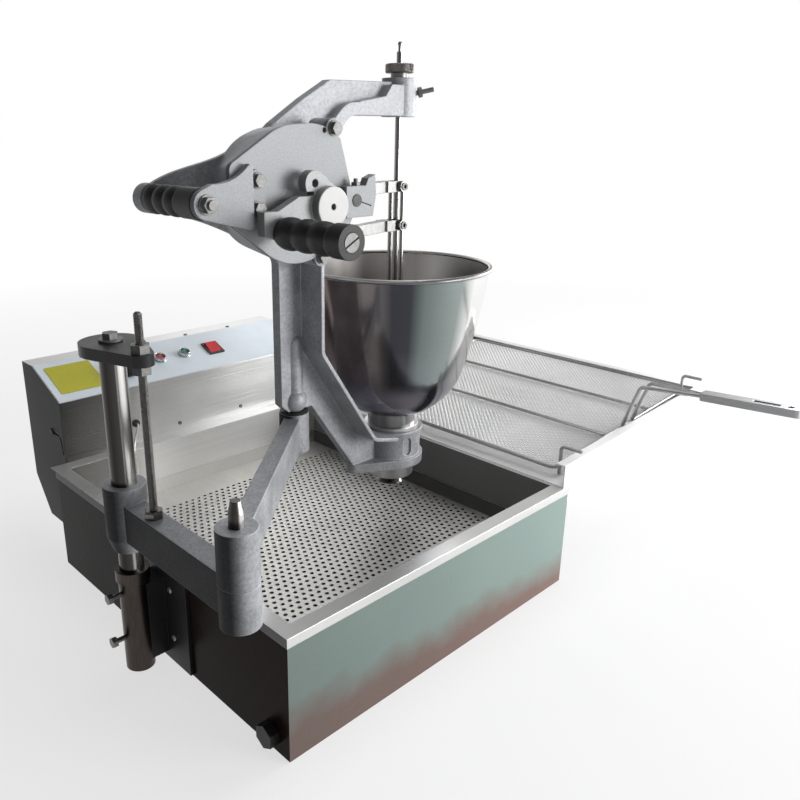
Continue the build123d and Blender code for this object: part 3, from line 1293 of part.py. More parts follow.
def hopper_bowl():
    outer_top, outer_low = bowl_wall(0)
    inner_top, inner_low = bowl_wall(BOWL_T)
    neck = AXIS_X + BOWL_NECK_R
    throat = neck - BOWL_T
    floor = CYL_TOP + BOWL_NECK_H
    rim = Line(outer_top @ 0, inner_top @ 0)
    rest = Polyline(inner_low @ 1, (throat, floor + BOWL_T), (throat, CYL_TOP), (neck, CYL_TOP),
                    (neck, floor), outer_low @ 1)
    section = make_face([rim, inner_top, inner_low, rest, outer_low, outer_top])
    plane = Plane(origin=(0, YC, 0), x_dir=(1, 0, 0), z_dir=(0, -1, 0))
    body = revolve(plane * section, axis=Axis((AXIS_X, YC, 0), (0, 0, 1)))
    return body + Pos(AXIS_X, YC, CYL_TOP + BOWL_H) * Torus(BOWL_R + 1, BOWL_BEAD_R)


def dough_cylinder():
    body = upright(AXIS_X, YC, CYL_R, CYL_Z0, CYL_TOP) + upright(AXIS_X, YC, CYL_FLANGE_R, RING_Z1, CYL_TOP)
    return body - upright(AXIS_X, YC, CYL_BORE, 0, 2 * CYL_TOP)


# crank, forks and plunger

CRANK_GRIP_X = CRANK_X + CRANK_GRIP_AT[0]
CRANK_GRIP_Z = CRANK_Z + CRANK_GRIP_AT[1]


def crank_arm():
    ear = (CRANK_X + LEVER_EAR[0], CRANK_Z + LEVER_EAR[1])
    back = LEVER_Y0 + LEVER_T
    body = along_y(CRANK_X, CRANK_Z, HUB_R, HUB_Y0, LEVER_Y0)
    shape = round_hull((CRANK_X, CRANK_Z, LEVER_HUB_R), (*ear, LEVER_EAR_R))
    end = CRANK_X + LEVER_END
    low = CRANK_Z + CRANK_GRIP_AT[1] - GRIP_SCREW_R / 2
    bend = CRANK_X + LEVER_BEND
    shoulder = (CRANK_X + LEVER_SHOULDER[0], CRANK_Z + LEVER_SHOULDER[1])
    shape += outline((end, low), (end, low + LEVER_BAR), (bend, low + LEVER_BAR), shoulder,
                     (CRANK_X, shoulder[1]), (CRANK_X, CRANK_Z - LEVER_HUB_R), (bend, low - GRIP_SCREW_R))
    length, width = LEVER_SLIT
    slit = Pos(ear[0] - LEVER_EAR_R, shoulder[1] + width / 2) * Rectangle(2 * length, width)
    body += side_plate(shape - slit, LEVER_Y0, back)
    body -= along_y(*ear, LEVER_EAR_HOLE, HUB_Y0, back + LEVER_T)
    body += along_y(CRANK_X, CRANK_Z, CRANK_SHAFT_R, LEVER_Y0, DRUM_Y1 + SHAFT_OUT)
    body -= along_y(CRANK_X, CRANK_Z, HUB_HOLE_R, HUB_Y0 - HUB_T, HUB_Y0 + HUB_T)
    return body - along_y(CRANK_GRIP_X, CRANK_GRIP_Z, GRIP_SCREW_R, HUB_Y0, back + LEVER_T)


def crank_grip():
    seat = (GRIP_SCREW_HEAD_R + FREE, GRIP_SCREW_HEAD - GRIP_SCREW_OUT)
    length = LEVER_Y0 - CRANK_GRIP_Y0
    body = moulded_grip(length, CRANK_GRIP_R, CRANK_GRIP_BUMP, GRIP_SCREW_R + RUN, seat)
    return Pos(CRANK_GRIP_X, LEVER_Y0, CRANK_GRIP_Z) * Rot(90, 0, 0) * body


def grip_screw():
    x, z = CRANK_GRIP_X, CRANK_GRIP_Z
    front = CRANK_GRIP_Y0 - GRIP_SCREW_OUT
    screw = along_y(x, z, GRIP_SCREW_R, front + GRIP_SCREW_HEAD, LEVER_Y0 + LEVER_T)
    screw += along_y(x, z, GRIP_SCREW_HEAD_R, front, front + GRIP_SCREW_HEAD)
    depth, width = GRIP_SCREW_SLOT
    return screw - Pos(x, front, z) * Rot(0, GRIP_SCREW_TURN, 0) * Box(4 * GRIP_SCREW_HEAD_R, depth, width)


def fork(z):
    """A fork from a pivot to both side rods, its prongs between the rods and beside the centre rod."""
    tip = z + FORK_RISE
    neck = AXIS_X - FORK_YOKE
    half = FORK_H / 2
    arm = outline((ROCK_X, z - half), (ROCK_X, z + half), (neck + 2, tip + half), (neck + 2, tip - half))
    body = side_plate(arm, YC - FORK_HALF, YC + FORK_HALF)
    yoke = FORK_YOKE_H / 2
    body += box(neck, neck + FORK_YOKE_T, YC - FORK_YOKE_HALF, YC + FORK_YOKE_HALF, tip - yoke, tip + yoke)
    prong = round_hull((AXIS_X, tip, PRONG_R), (neck + FORK_YOKE_T / 2, tip, PRONG_R))
    body += side_plate(prong, YC - FORK_HALF, YC + FORK_HALF)
    slit = neck + FORK_YOKE_T
    body -= box(slit, AXIS_X + 2 * PRONG_R, YC - FORK_SLOT, YC + FORK_SLOT, tip - 2 * yoke, tip + 2 * yoke)
    slot = Pos(AXIS_X - 1, tip) * SlotOverall(*PIN_SLOT)
    return body - side_plate(slot, YC - 2 * FORK_HALF, YC + 2 * FORK_HALF)


def upper_fork():
    body = fork(ROCK_Z) + along_y(ROCK_X, ROCK_Z, ROCK_HUB_R, YC - ROCK_HUB_HALF, YC + ROCK_HUB_HALF)
    return body - along_y(ROCK_X, ROCK_Z, ROCK_R, DRUM_Y0, DRUM_Y1)


def rocker_shaft():
    return along_y(ROCK_X, ROCK_Z, ROCK_R, CLAMP_Y0 - 1, DRUM_Y1 + SHAFT_OUT)


def clamp_lever():
    x, z = ROCK_X, ROCK_Z
    ear = [(x + along, z + up) for along, up in CLAMP_EAR]
    shape = outline((x - CLAMP_LEFT, z - CLAMP_LOW), (x + CLAMP_RIGHT, z - CLAMP_LOW), *ear,
                    (x - CLAMP_LEFT, z + CLAMP_TOP))
    middle = CLAMP_Y0 + CLAMP_T / 2
    body = side_plate(shape, CLAMP_Y0, CLAMP_Y0 + CLAMP_T)
    body -= along_y(x, z, ROCK_R, HUB_Y0, DRUM_Y0)
    across, up, slope = CLAMP_SLIT_AT
    body -= Pos(x + across, middle, z + up) * Rot(0, slope, 0) * Box(3 * ROCK_R, 2 * CLAMP_T, CLAMP_SLIT)
    return body - upright(x + CLAMP_BOLT_X, middle, CLAMP_BOLT_R, z + ROCK_R + FREE, z + 2 * CLAMP_TOP)


def clamp_bolt():
    y = CLAMP_Y0 + CLAMP_T / 2
    top = ROCK_Z + CLAMP_TOP
    x = ROCK_X + CLAMP_BOLT_X
    bolt = upright(x, y, CLAMP_BOLT_R, ROCK_Z + ROCK_R + FREE, top + 2 * CLAMP_BOLT_NUT)
    return bolt + Pos(x, y, top) * hexagon(CLAMP_BOLT_FLATS, CLAMP_BOLT_NUT)


def lower_fork():
    half = LOW_LUG_Y - LOW_LUG_T / 2 - FREE
    body = fork(LOW_PIVOT_Z) + along_y(ROCK_X, LOW_PIVOT_Z, LOW_HUB_R, YC - half, YC + half)
    return body - along_y(ROCK_X, LOW_PIVOT_Z, LOW_PIN_R + RUN, DRUM_Y0, DRUM_Y1 + FLANGE_HALF)


EYE_IN = FORK_HALF + FREE
EYE_OUT = EYE_IN + EYE_T


def plunger_rods():
    rods = []
    for side in (-1, 1):
        low, high = sorted((YC + side * EYE_IN, YC + side * EYE_OUT))
        rod = upright(AXIS_X, YC + side * SIDE_SPREAD, SIDE_R, SLEEVE_Z0 + SLEEVE_H - SPIDER_H, FORK_TOP_Z)
        for z in (FORK_TOP_Z, FORK_TOP_Z - FORK_DROP):
            rod += along_y(AXIS_X, z, EYE_R, low, high)
            rod -= along_y(AXIS_X, z, FORK_PIN_R, low - EYE_T, high + EYE_T)
        rods.append(rod)
    return rods


def fork_pins():
    pins = []
    for side in (-1, 1):
        inner = YC + side * (FORK_SLOT + FIT)
        neck = YC + side * EYE_OUT
        end = neck + side * FORK_PIN_HEAD
        for z in (FORK_TOP_Z, FORK_TOP_Z - FORK_DROP):
            pin = along_y(AXIS_X, z, FORK_PIN_R, min(inner, end), max(inner, end))
            pin += along_y(AXIS_X, z, FORK_PIN_HEAD_R, min(neck, end), max(neck, end))
            socket = Rot(90, 0, 0) * Pos(0, 0, -FORK_PIN_SINK) * hexagon(FORK_PIN_SOCKET, 2 * FORK_PIN_SINK)
            pins.append(pin - Pos(AXIS_X, end, z) * socket)
    return pins


def plunger_sleeve():
    top = SLEEVE_Z0 + SLEEVE_H
    body = upright(AXIS_X, YC, CYL_BORE - RUN, SLEEVE_Z0, top)
    body -= upright(AXIS_X, YC, CYL_BORE - SLEEVE_WALL, 0, 2 * top)
    reach = CYL_BORE - SLEEVE_WALL / 2
    spider = box(AXIS_X - SPIDER_HALF, AXIS_X + SPIDER_HALF, YC - reach, YC + reach, top - SPIDER_H, top)
    body += spider & upright(AXIS_X, YC, CYL_BORE - SLEEVE_WALL / 2, SLEEVE_Z0, top)
    body -= upright(AXIS_X, YC, CENTRE_R + 1, 0, 2 * top)
    for side in (-1, 1):
        body -= upright(AXIS_X, YC + side * SIDE_SPREAD, SIDE_R, top - SPIDER_H, 2 * top)
    return body


def centre_rod():
    shoulder = CENTRE_TOP - CENTRE_TIP
    ball = CENTRE_TOP - CENTRE_BALL_R
    rod = upright(AXIS_X, YC, CENTRE_R, DISC_Z, shoulder)
    rod += upright(AXIS_X, YC, CENTRE_TIP_R, shoulder, ball) + Pos(AXIS_X, YC, ball) * Sphere(CENTRE_BALL_R)
    return rod + Pos(AXIS_X, YC, DISC_Z + DISC_T / 2) * Cone(DISC_R, DISC_TOP_R, DISC_T)


def knurled_nut():
    low = HEAD_Z1 + KNURL_NECK_H
    body = upright(AXIS_X, YC, KNURL_NECK_R, HEAD_Z1 + KNURL_GAP, low)
    body += extrude(Pos(AXIS_X, YC, low) * RegularPolygon(KNURL_R, KNURL_SIDES), amount=KNURL_H)
    return body - upright(AXIS_X, YC, CENTRE_R + RUN, HEAD_Z0, CENTRE_TOP)


NODES = (
    outer_case, oil_tank, perforated_plate, heating_element, drain_cap,
    control_case, control_back, cable_gland, control_panel, lamp_bezels, red_lens, green_lens,
    switch_body, switch_rocker, thermostat_knob, thermostat_body, thermostat_bulb, capillary_grommet,
    contactor, case_screws,
    drain_tray, net_frame, net_mesh, net_grip,
    post_socket, socket_bracket, set_screws, post, cap_bolt, cap_plate, rod_nuts,
    height_rod, lower_arm, elbow_pin, upper_arm, wrist_pin, wrist_washer,
    frame_casting, front_cover, cover_bolts, handle_bracket, fixed_grip, grip_bolt, lower_pivot, lock_screw,
    hopper_bowl, dough_cylinder,
    crank_arm, crank_grip, grip_screw, upper_fork, rocker_shaft, clamp_lever, clamp_bolt, lower_fork,
    plunger_rods, fork_pins, plunger_sleeve, centre_rod, knurled_nut,
)

# to the middle of the base
BASE_CENTRE = Pos(-TANK_W / 2, -CASE_D / 2, 0)

os.makedirs("parts", exist_ok=True)
for make in NODES:
    made = make()
    pieces = [BASE_CENTRE * piece for piece in made] if isinstance(made, list) else [BASE_CENTRE * made]
    node = pieces[0] if len(pieces) == 1 else Compound(children=pieces)
    export_step(node, f"parts/{make.__name__}.step")
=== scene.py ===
from math import atan2, cos, pi, radians, sin, sqrt

import bmesh
import bpy
from mathutils import Matrix, Vector


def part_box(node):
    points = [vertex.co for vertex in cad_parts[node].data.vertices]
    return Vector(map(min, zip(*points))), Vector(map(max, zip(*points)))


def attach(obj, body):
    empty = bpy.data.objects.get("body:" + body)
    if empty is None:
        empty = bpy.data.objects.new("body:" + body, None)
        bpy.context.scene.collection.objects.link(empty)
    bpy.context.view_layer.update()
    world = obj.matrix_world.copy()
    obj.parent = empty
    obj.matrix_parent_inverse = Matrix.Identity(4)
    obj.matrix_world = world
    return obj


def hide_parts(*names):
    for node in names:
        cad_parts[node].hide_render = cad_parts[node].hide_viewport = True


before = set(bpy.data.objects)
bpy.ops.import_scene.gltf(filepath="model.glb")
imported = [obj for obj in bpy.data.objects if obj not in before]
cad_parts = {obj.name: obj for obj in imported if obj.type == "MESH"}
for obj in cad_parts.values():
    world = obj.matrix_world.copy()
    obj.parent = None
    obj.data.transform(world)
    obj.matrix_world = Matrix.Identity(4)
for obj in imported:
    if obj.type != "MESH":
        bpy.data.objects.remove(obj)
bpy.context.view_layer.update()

scene = bpy.context.scene
scene.view_settings.view_transform = "Standard"

# Camera. It stands in front of the fryer's left corner, a little above the hopper's rim, and looks down.
# The picture's centre lies off the lens axis, which the shift allows for.
camera_place = Vector((-0.6328, -0.7531, 0.6080))
camera_turn = radians(-43.06)
camera_tilt = radians(90 - 18.34)
camera_roll = radians(0.21)
lens = bpy.data.cameras.new("camera")
lens.sensor_width = 36.0
lens.lens = 34.52
lens.shift_x = 0.0684
lens.shift_y = -0.0147
camera = bpy.data.objects.new("camera", lens)
camera.matrix_world = (Matrix.Translation(camera_place) @ Matrix.Rotation(camera_turn, 4, "Z")
                       @ Matrix.Rotation(camera_tilt, 4, "X") @ Matrix.Rotation(camera_roll, 4, "Z"))
scene.collection.objects.link(camera)
scene.camera = camera


# Studio. A plain pale floor fades to white away from the object, in a soft grey room that is white on the
# right. Four large soft lamps stand in front on the right, at the right, above, and behind on the right.
def place(tree, kind, links=(), **settings):
    """A shader node with its settings, fed by (input, source) pairs. A source is a socket or a value."""
    node = tree.nodes.new(kind)
    for key, value in settings.items():
        setattr(node, key, value)
    for name, source in links:
        if hasattr(source, "is_linked"):
            tree.links.new(source, node.inputs[name])
        else:
            node.inputs[name].default_value = source
    return node


def maths(tree, operation, *values, clamp=False):
    """A value worked out from others."""
    return place(tree, "ShaderNodeMath", enumerate(values), operation=operation, use_clamp=clamp).outputs[0]


def vector_maths(tree, operation, *vectors):
    """A vector worked out from others, or a length or a product of them."""
    node = place(tree, "ShaderNodeVectorMath", enumerate(vectors), operation=operation)
    return node.outputs["Value" if operation in ("DOT_PRODUCT", "LENGTH") else "Vector"]


def xyz_of(tree, vector):
    """The X, Y and Z of a vector."""
    return place(tree, "ShaderNodeSeparateXYZ", [(0, vector)]).outputs


def spread(tree, value, low, high, to_low=0.0, to_high=1.0):
    """A value carried from one range to another."""
    node = place(tree, "ShaderNodeMapRange", [("Value", value), ("From Min", low), ("From Max", high),
                                              ("To Min", to_low), ("To Max", to_high)])
    return node.outputs["Result"]


def ramp(tree, value, *stops):
    """A colour ramp through (position, colour) stops."""
    node = place(tree, "ShaderNodeValToRGB", [("Fac", value)])
    marks = node.color_ramp.elements
    for mark, (position, colour) in zip(marks, (stops[0], stops[-1])):
        mark.position = position
        mark.color = (*colour, 1)
    for position, colour in stops[1:-1]:
        marks.new(position).color = (*colour, 1)
    return node.outputs["Color"]


def made(form, name, finish):
    """A finished form as a piece of the scene, with its finish."""
    mesh = bpy.data.meshes.new(name)
    form.to_mesh(mesh)
    mesh.materials.append(finish)
    piece = bpy.data.objects.new(name, mesh)
    scene.collection.objects.link(piece)
    return piece


sky_white_way = (0.89, 0.45, 0.0)
sky_fade_low = 0.17
sky_fade_high = 0.42
sky_high_level = 0.32
world = bpy.data.worlds.new("studio")
world.use_nodes = True
scene.world = world
sky = world.node_tree
sky_at = place(sky, "ShaderNodeTexCoord").outputs["Generated"]
sky_lean = vector_maths(sky, "DOT_PRODUCT", sky_at, sky_white_way)
sky_tone = ramp(sky, spread(sky, sky_lean, -1.0, 1.0), (0.0, (0.38, 0.38, 0.39)), (0.36, (0.40, 0.40, 0.41)),
                (0.50, (0.58, 0.59, 0.60)), (0.64, (1, 1, 1)))
sky_level = spread(sky, xyz_of(sky, sky_at)["Z"], sky_fade_low, sky_fade_high, 1.0, sky_high_level)
sky.links.new(sky_tone, sky.nodes["Background"].inputs["Color"])
sky.links.new(sky_level, sky.nodes["Background"].inputs["Strength"])

floor_radius = 14.0
floor_drop = 0.0005
floor_pale = (0.86, 0.86, 0.86, 1)
floor_white = (1, 1, 1, 1)
floor_near = 0.8
floor_far = 2.6
floor_near_white = 0.66
floor_paint = bpy.data.materials.new("floor")
floor_paint.use_nodes = True
floor_tree = floor_paint.node_tree
floor_shade = floor_tree.nodes["Principled BSDF"]
floor_shade.inputs["Base Color"].default_value = floor_pale
floor_shade.inputs["Roughness"].default_value = 0.9
floor_shade.inputs["Specular IOR Level"].default_value = 0.1
floor_away = vector_maths(floor_tree, "LENGTH", place(floor_tree, "ShaderNodeTexCoord").outputs["Object"])
floor_rays = place(floor_tree, "ShaderNodeLightPath").outputs
floor_seen = maths(floor_tree, "MAXIMUM", floor_rays["Is Camera Ray"], floor_rays["Is Glossy Ray"])
floor_seen = maths(floor_tree, "MAXIMUM", floor_seen, floor_rays["Is Transmission Ray"])
floor_share = maths(floor_tree, "MULTIPLY", floor_seen,
                    spread(floor_tree, floor_away, floor_near, floor_far, floor_near_white, 1.0))
floor_glow = place(floor_tree, "ShaderNodeEmission", [("Color", floor_white)])
floor_mix = place(floor_tree, "ShaderNodeMixShader",
                  [("Fac", floor_share), (1, floor_shade.outputs[0]), (2, floor_glow.outputs[0])])
floor_tree.links.new(floor_mix.outputs[0], floor_tree.nodes["Material Output"].inputs["Surface"])
floor_form = bmesh.new()
bmesh.ops.create_circle(floor_form, cap_ends=True, segments=96, radius=floor_radius)
floor = made(floor_form, "floor", floor_paint)
floor.location.z = -floor_drop

for lamp_name, lamp_place, lamp_aim, lamp_wide, lamp_high, lamp_watts in (
        ("lamp_front", (1.15, -2.05, 0.62), (0.0, 0.0, 0.25), 1.2, 1.0, 40),
        ("lamp_right", (2.3, -0.45, 1.0), (0.1, 0.0, 0.3), 1.1, 1.1, 36),
        ("lamp_above", (0.6, 0.0, 2.5), (0.1, 0.0, 0.2), 1.4, 1.4, 14),
        ("lamp_far", (1.5, 1.9, 1.6), (0.1, 0.0, 0.2), 1.3, 1.3, 7)):
    lamp_data = bpy.data.lights.new(lamp_name, "AREA")
    lamp_data.shape = "RECTANGLE"
    lamp_data.size = lamp_wide
    lamp_data.size_y = lamp_high
    lamp_data.energy = lamp_watts
    lamp = bpy.data.objects.new(lamp_name, lamp_data)
    lamp.location = lamp_place
    lamp.rotation_euler = (Vector(lamp_aim) - Vector(lamp_place)).to_track_quat("-Z", "Y").to_euler()
    scene.collection.objects.link(lamp)


# Case and oil tank. A box of folded stainless sheet holds a tank of the same sheet, hung in it by a wide
# rim that turns down over the case's sides. The sheet is brushed along its length. The case's front has a
# painted reflection, greenish above a brown foot, and painted light and shade from its left end to its right,
# its left side has painted shade, and the tank has painted shade under the plate and along its back wall.
def effect_group(name, inputs, outputs):
    """A shader node group with named sockets, its way in and its way out."""
    tree = bpy.data.node_groups.new(name, "ShaderNodeTree")
    for label, kind, value in inputs:
        tree.interface.new_socket(label, in_out="INPUT", socket_type=kind).default_value = value
    for label, kind in outputs:
        tree.interface.new_socket(label, in_out="OUTPUT", socket_type=kind)
    return tree, tree.nodes.new("NodeGroupInput").outputs, tree.nodes.new("NodeGroupOutput").inputs


grain_group, grain_in, grain_out = effect_group(
    "brushed_grain",
    [("Stretch", "NodeSocketVector", (40, 40, 40)), ("Cloud Scale", "NodeSocketFloat", 6.0)],
    [("Grain", "NodeSocketFloat"), ("Cloud", "NodeSocketFloat")])
grain_at = place(grain_group, "ShaderNodeTexCoord").outputs["Object"]
grain_pull = vector_maths(grain_group, "MULTIPLY", grain_at, grain_in["Stretch"])
grain_noise = place(grain_group, "ShaderNodeTexNoise",
                    [("Vector", grain_pull), ("Scale", 1.0), ("Detail", 5.0), ("Roughness", 0.65)])
grain_cloud = place(grain_group, "ShaderNodeTexNoise",
                    [("Vector", grain_at), ("Scale", grain_in["Cloud Scale"]), ("Detail", 3.0)])
grain_group.links.new(grain_noise.outputs["Fac"], grain_out["Grain"])
grain_group.links.new(grain_cloud.outputs["Fac"], grain_out["Cloud"])

edge_group, edge_in, edge_out = effect_group(
    "worn_edges",
    [("Radius", "NodeSocketFloat", 0.001), ("Gain", "NodeSocketFloat", 3.0)],
    [("Edge", "NodeSocketFloat"), ("Normal", "NodeSocketVector")])
edge_round = place(edge_group, "ShaderNodeBevel", [("Radius", edge_in["Radius"])], samples=6).outputs[0]
edge_face = place(edge_group, "ShaderNodeNewGeometry").outputs["Normal"]
edge_alike = vector_maths(edge_group, "DOT_PRODUCT", edge_round, edge_face)
edge_turned = maths(edge_group, "SUBTRACT", 1.0, edge_alike)
edge_worn = maths(edge_group, "MULTIPLY", edge_turned, edge_in["Gain"], clamp=True)
edge_group.links.new(edge_worn, edge_out["Edge"])
edge_group.links.new(edge_round, edge_out["Normal"])

# Painted shade: faces that look to the left get a darker tone and less metal shine, as if out of the light.
left_shade_group, side_in, side_out = effect_group(
    "painted_left_shade",
    [("Left Shade", "NodeSocketFloat", 0.5)],
    [("Tone", "NodeSocketColor"), ("Share", "NodeSocketFloat")])
left_from = -0.25
left_full = -0.85
side_way = xyz_of(left_shade_group, place(left_shade_group, "ShaderNodeTexCoord").outputs["Normal"])
side_share = spread(left_shade_group, side_way["X"], left_from, left_full)
left_shade_group.links.new(spread(left_shade_group, side_share, 0.0, 1.0, 1.0, side_in["Left Shade"]), side_out["Tone"])
left_shade_group.links.new(side_share, side_out["Share"])

# Mask for painted shade: walls at the back that face the front.
wall_group, _, wall_out = effect_group("far_wall", [], [("Share", "NodeSocketFloat")])
wall_front_from = -0.5
wall_front_full = -0.8
wall_far_from = 0.10
wall_far_full = 0.15
wall_at = place(wall_group, "ShaderNodeTexCoord").outputs
wall_facing = spread(wall_group, xyz_of(wall_group, wall_at["Normal"])["Y"], wall_front_from, wall_front_full)
wall_beyond = spread(wall_group, xyz_of(wall_group, wall_at["Object"])["Y"], wall_far_from, wall_far_full)
wall_group.links.new(maths(wall_group, "MULTIPLY", wall_facing, wall_beyond), wall_out["Share"])

grain_dark_at = 0.3
grain_light_at = 0.7
cloud_dark_at = 0.25
cloud_light_at = 0.75
cloud_smooth_at = 0.3
cloud_rough_at = 0.7
edge_lift = 1.25
left_gloss = 0.06
relief_high = 0.0006


def blended(tree, share, first, second, mode="MIX"):
    """Two colours mixed by a share. The node's colour sockets are 6 and 7 going in and 2 coming out."""
    node = place(tree, "ShaderNodeMix", data_type="RGBA", blend_type=mode)
    for index, source in ((0, share), (6, first), (7, second)):
        if hasattr(source, "is_linked"):
            tree.links.new(source, node.inputs[index])
        elif index:
            node.inputs[index].default_value = (*source, 1)
        else:
            node.inputs[index].default_value = source
    return node.outputs[2]


def metal_finish(name, light, dark, rough=(0.25, 0.4), stretch=(40, 40, 40), cloud=6.0, bump=0.1,
                 edge=0.0008, edge_tone=None, metallic=1.0, left=None, shadow=0.78):
    """Two tones laid by the grain, clouds in tone and roughness, fine bump, and edges worn brighter.

    With left, faces that look to the left take painted shade: they are that much darker and lose their metal
    shine.
    """
    finish = bpy.data.materials.new(name)
    finish.use_nodes = True
    tree = finish.node_tree
    shade = tree.nodes["Principled BSDF"]
    shade.inputs["Metallic"].default_value = metallic
    grain = place(tree, "ShaderNodeGroup", [("Stretch", stretch), ("Cloud Scale", cloud)],
                  node_tree=grain_group).outputs
    worn = place(tree, "ShaderNodeGroup", [("Radius", edge)], node_tree=edge_group).outputs
    tone = ramp(tree, grain["Grain"], (grain_dark_at, dark), (grain_light_at, light))
    clouds = ramp(tree, grain["Cloud"], (cloud_dark_at, (shadow,) * 3), (cloud_light_at, (1, 1, 1)))
    tone = blended(tree, 1.0, tone, clouds, "MULTIPLY")
    bright = edge_tone or tuple(min(1.0, edge_lift * part) for part in light)
    tone = blended(tree, worn["Edge"], tone, bright)
    if left is not None:
        side = place(tree, "ShaderNodeGroup", [("Left Shade", left)], node_tree=left_shade_group).outputs
        tone = blended(tree, 1.0, tone, side["Tone"], "MULTIPLY")
        tree.links.new(spread(tree, side["Share"], 0.0, 1.0, metallic, 0.0), shade.inputs["Metallic"])
        shade.inputs["Specular IOR Level"].default_value = left_gloss
    tree.links.new(tone, shade.inputs["Base Color"])
    roughness = spread(tree, grain["Cloud"], cloud_smooth_at, cloud_rough_at, *rough)
    tree.links.new(roughness, shade.inputs["Roughness"])
    relief = place(tree, "ShaderNodeBump", [("Strength", bump), ("Distance", relief_high),
                                            ("Height", grain["Grain"]), ("Normal", worn["Normal"])])
    tree.links.new(relief.outputs[0], shade.inputs["Normal"])
    return finish


def opened(finish):
    """A finish's nodes, its shader, and the tone that its grain and edges give."""
    shade = finish.node_tree.nodes["Principled BSDF"]
    return finish.node_tree, shade, shade.inputs["Base Color"].links[0].from_socket


def dress(finish, *names):
    """CAD nodes take a finish."""
    for name in names:
        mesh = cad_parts[name].data
        mesh.materials.clear()
        mesh.materials.append(finish)


case_half = 0.25
# Painted reflection colours for the front, and painted shade colours for the left side, darker at its front.
case_green_reflection = (0.200, 0.280, 0.255)
case_brown_reflection = (0.175, 0.088, 0.066)
case_left_shade_front = (0.013, 0.007, 0.005)
case_left_shade_back = (0.030, 0.028, 0.026)
case_left_from = -0.3
case_left_full = -0.8
case_front_y = -0.15
case_back_y = 0.20
case_level_left = 0.75
case_level_right = 1.60
case_grain_share = 0.22
case_gloss = 0.03
brown_high_left = 0.052
brown_high_right = 0.030
brown_ragged = 0.010
brown_soft = 0.022
blot_scale = 22.0
blot_low = 0.3
blot_high = 0.7
case_steel = metal_finish("case_steel", light=(0.50, 0.52, 0.51), dark=(0.44, 0.46, 0.45),
                          rough=(0.22, 0.34), stretch=(3, 3, 900), cloud=5.0, bump=0.2, edge=0.0012)
case_tree, case_shade, case_grained = opened(case_steel)
case_at = place(case_tree, "ShaderNodeTexCoord").outputs
case_xyz = xyz_of(case_tree, case_at["Object"])
case_blot = place(case_tree, "ShaderNodeTexNoise",
                  [("Vector", case_at["Object"]), ("Scale", blot_scale), ("Detail", 3.0)]).outputs["Fac"]
# Painted reflection: green above a ragged line, brown below it.
brown_line = spread(case_tree, case_xyz["X"], -case_half, case_half, brown_high_left, brown_high_right)
brown_stray = spread(case_tree, case_blot, blot_low, blot_high, -brown_ragged, brown_ragged)
brown_high = maths(case_tree, "ADD", brown_line, brown_stray)
above_brown = maths(case_tree, "SUBTRACT", case_xyz["Z"], brown_high)
green_share = spread(case_tree, above_brown, -brown_soft, brown_soft)
case_tone = blended(case_tree, green_share, case_brown_reflection, case_green_reflection)
# Painted light and shade: darker towards the left end, lighter towards the right.
case_painted_light_along = spread(case_tree, case_xyz["X"], -case_half, case_half, case_level_left, case_level_right)
case_tone = blended(case_tree, 1.0, case_tone, case_painted_light_along, "MULTIPLY")
case_tone = blended(case_tree, case_grain_share, case_tone, case_grained)
# Painted shade: faces that look to the left take the dark side tone and lose their metal shine.
case_left = spread(case_tree, xyz_of(case_tree, case_at["Normal"])["X"], case_left_from, case_left_full)
case_deep = spread(case_tree, case_xyz["Y"], case_front_y, case_back_y)
case_left_painted_shade = blended(case_tree, case_deep, case_left_shade_front, case_left_shade_back)
case_tone = blended(case_tree, case_left, case_tone, case_left_painted_shade)
case_tree.links.new(case_tone, case_shade.inputs["Base Color"])
case_tree.links.new(spread(case_tree, case_left, 0.0, 1.0, 1.0, 0.0), case_shade.inputs["Metallic"])
case_shade.inputs["Specular IOR Level"].default_value = case_gloss
dress(case_steel, "outer_case")

tank_half = 0.24
# Painted shade: the tank is dark below the plate, and faces that look to the left are darker.
tank_under_plate_shade = (0.045, 0.038, 0.032)
tank_shade_low = 0.058
tank_shade_high = 0.064
tank_steel = metal_finish("tank_steel", light=(0.84, 0.84, 0.82), dark=(0.74, 0.74, 0.72),
                          rough=(0.24, 0.38), stretch=(3, 3, 700), cloud=4.0, bump=0.5, edge=0.0012,
                          metallic=0.7, left=0.24)
tank_tree, tank_shade, tank_grained = opened(tank_steel)
tank_xyz = xyz_of(tank_tree, place(tank_tree, "ShaderNodeTexCoord").outputs["Object"])
# Painted shade and light: the back wall is darker towards its left end and lighter than the sheet at its
# right.
tank_painted_light_along = ramp(tank_tree, spread(tank_tree, tank_xyz["X"], -tank_half, tank_half),
                  (0.0, (0.17, 0.165, 0.16)), (0.16, (0.36, 0.36, 0.35)), (0.30, (1.15, 1.15, 1.15)))
tank_wall = place(tank_tree, "ShaderNodeGroup", node_tree=wall_group).outputs["Share"]
tank_tone = blended(tank_tree, 1.0, tank_grained, tank_painted_light_along, "MULTIPLY")
tank_tone = blended(tank_tree, tank_wall, tank_grained, tank_tone)
# Painted shade below the plate.
tank_above_shade = spread(tank_tree, tank_xyz["Z"], tank_shade_low, tank_shade_high)
tank_tree.links.new(blended(tank_tree, tank_above_shade, tank_under_plate_shade, tank_tone), tank_shade.inputs["Base Color"])
dress(tank_steel, "oil_tank")

# Perforated plate. A lift-out stainless sheet lies over the heating tubes on four short feet. It is punched
# all over in staggered rows, plain along its back edge, and folded up along its four sides.
plate_low, plate_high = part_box("perforated_plate")
plate_thick = 0.0015
plate_under = 0.064
plate_mid = plate_under + plate_thick / 2
punch_pitch = 0.011
punch_radius = 0.00275
plain_back = 0.048
plain_side = 0.006
foot_wide = 0.020
cell_points = 12
corner_grid = 1e5
weld_reach = 1e-6


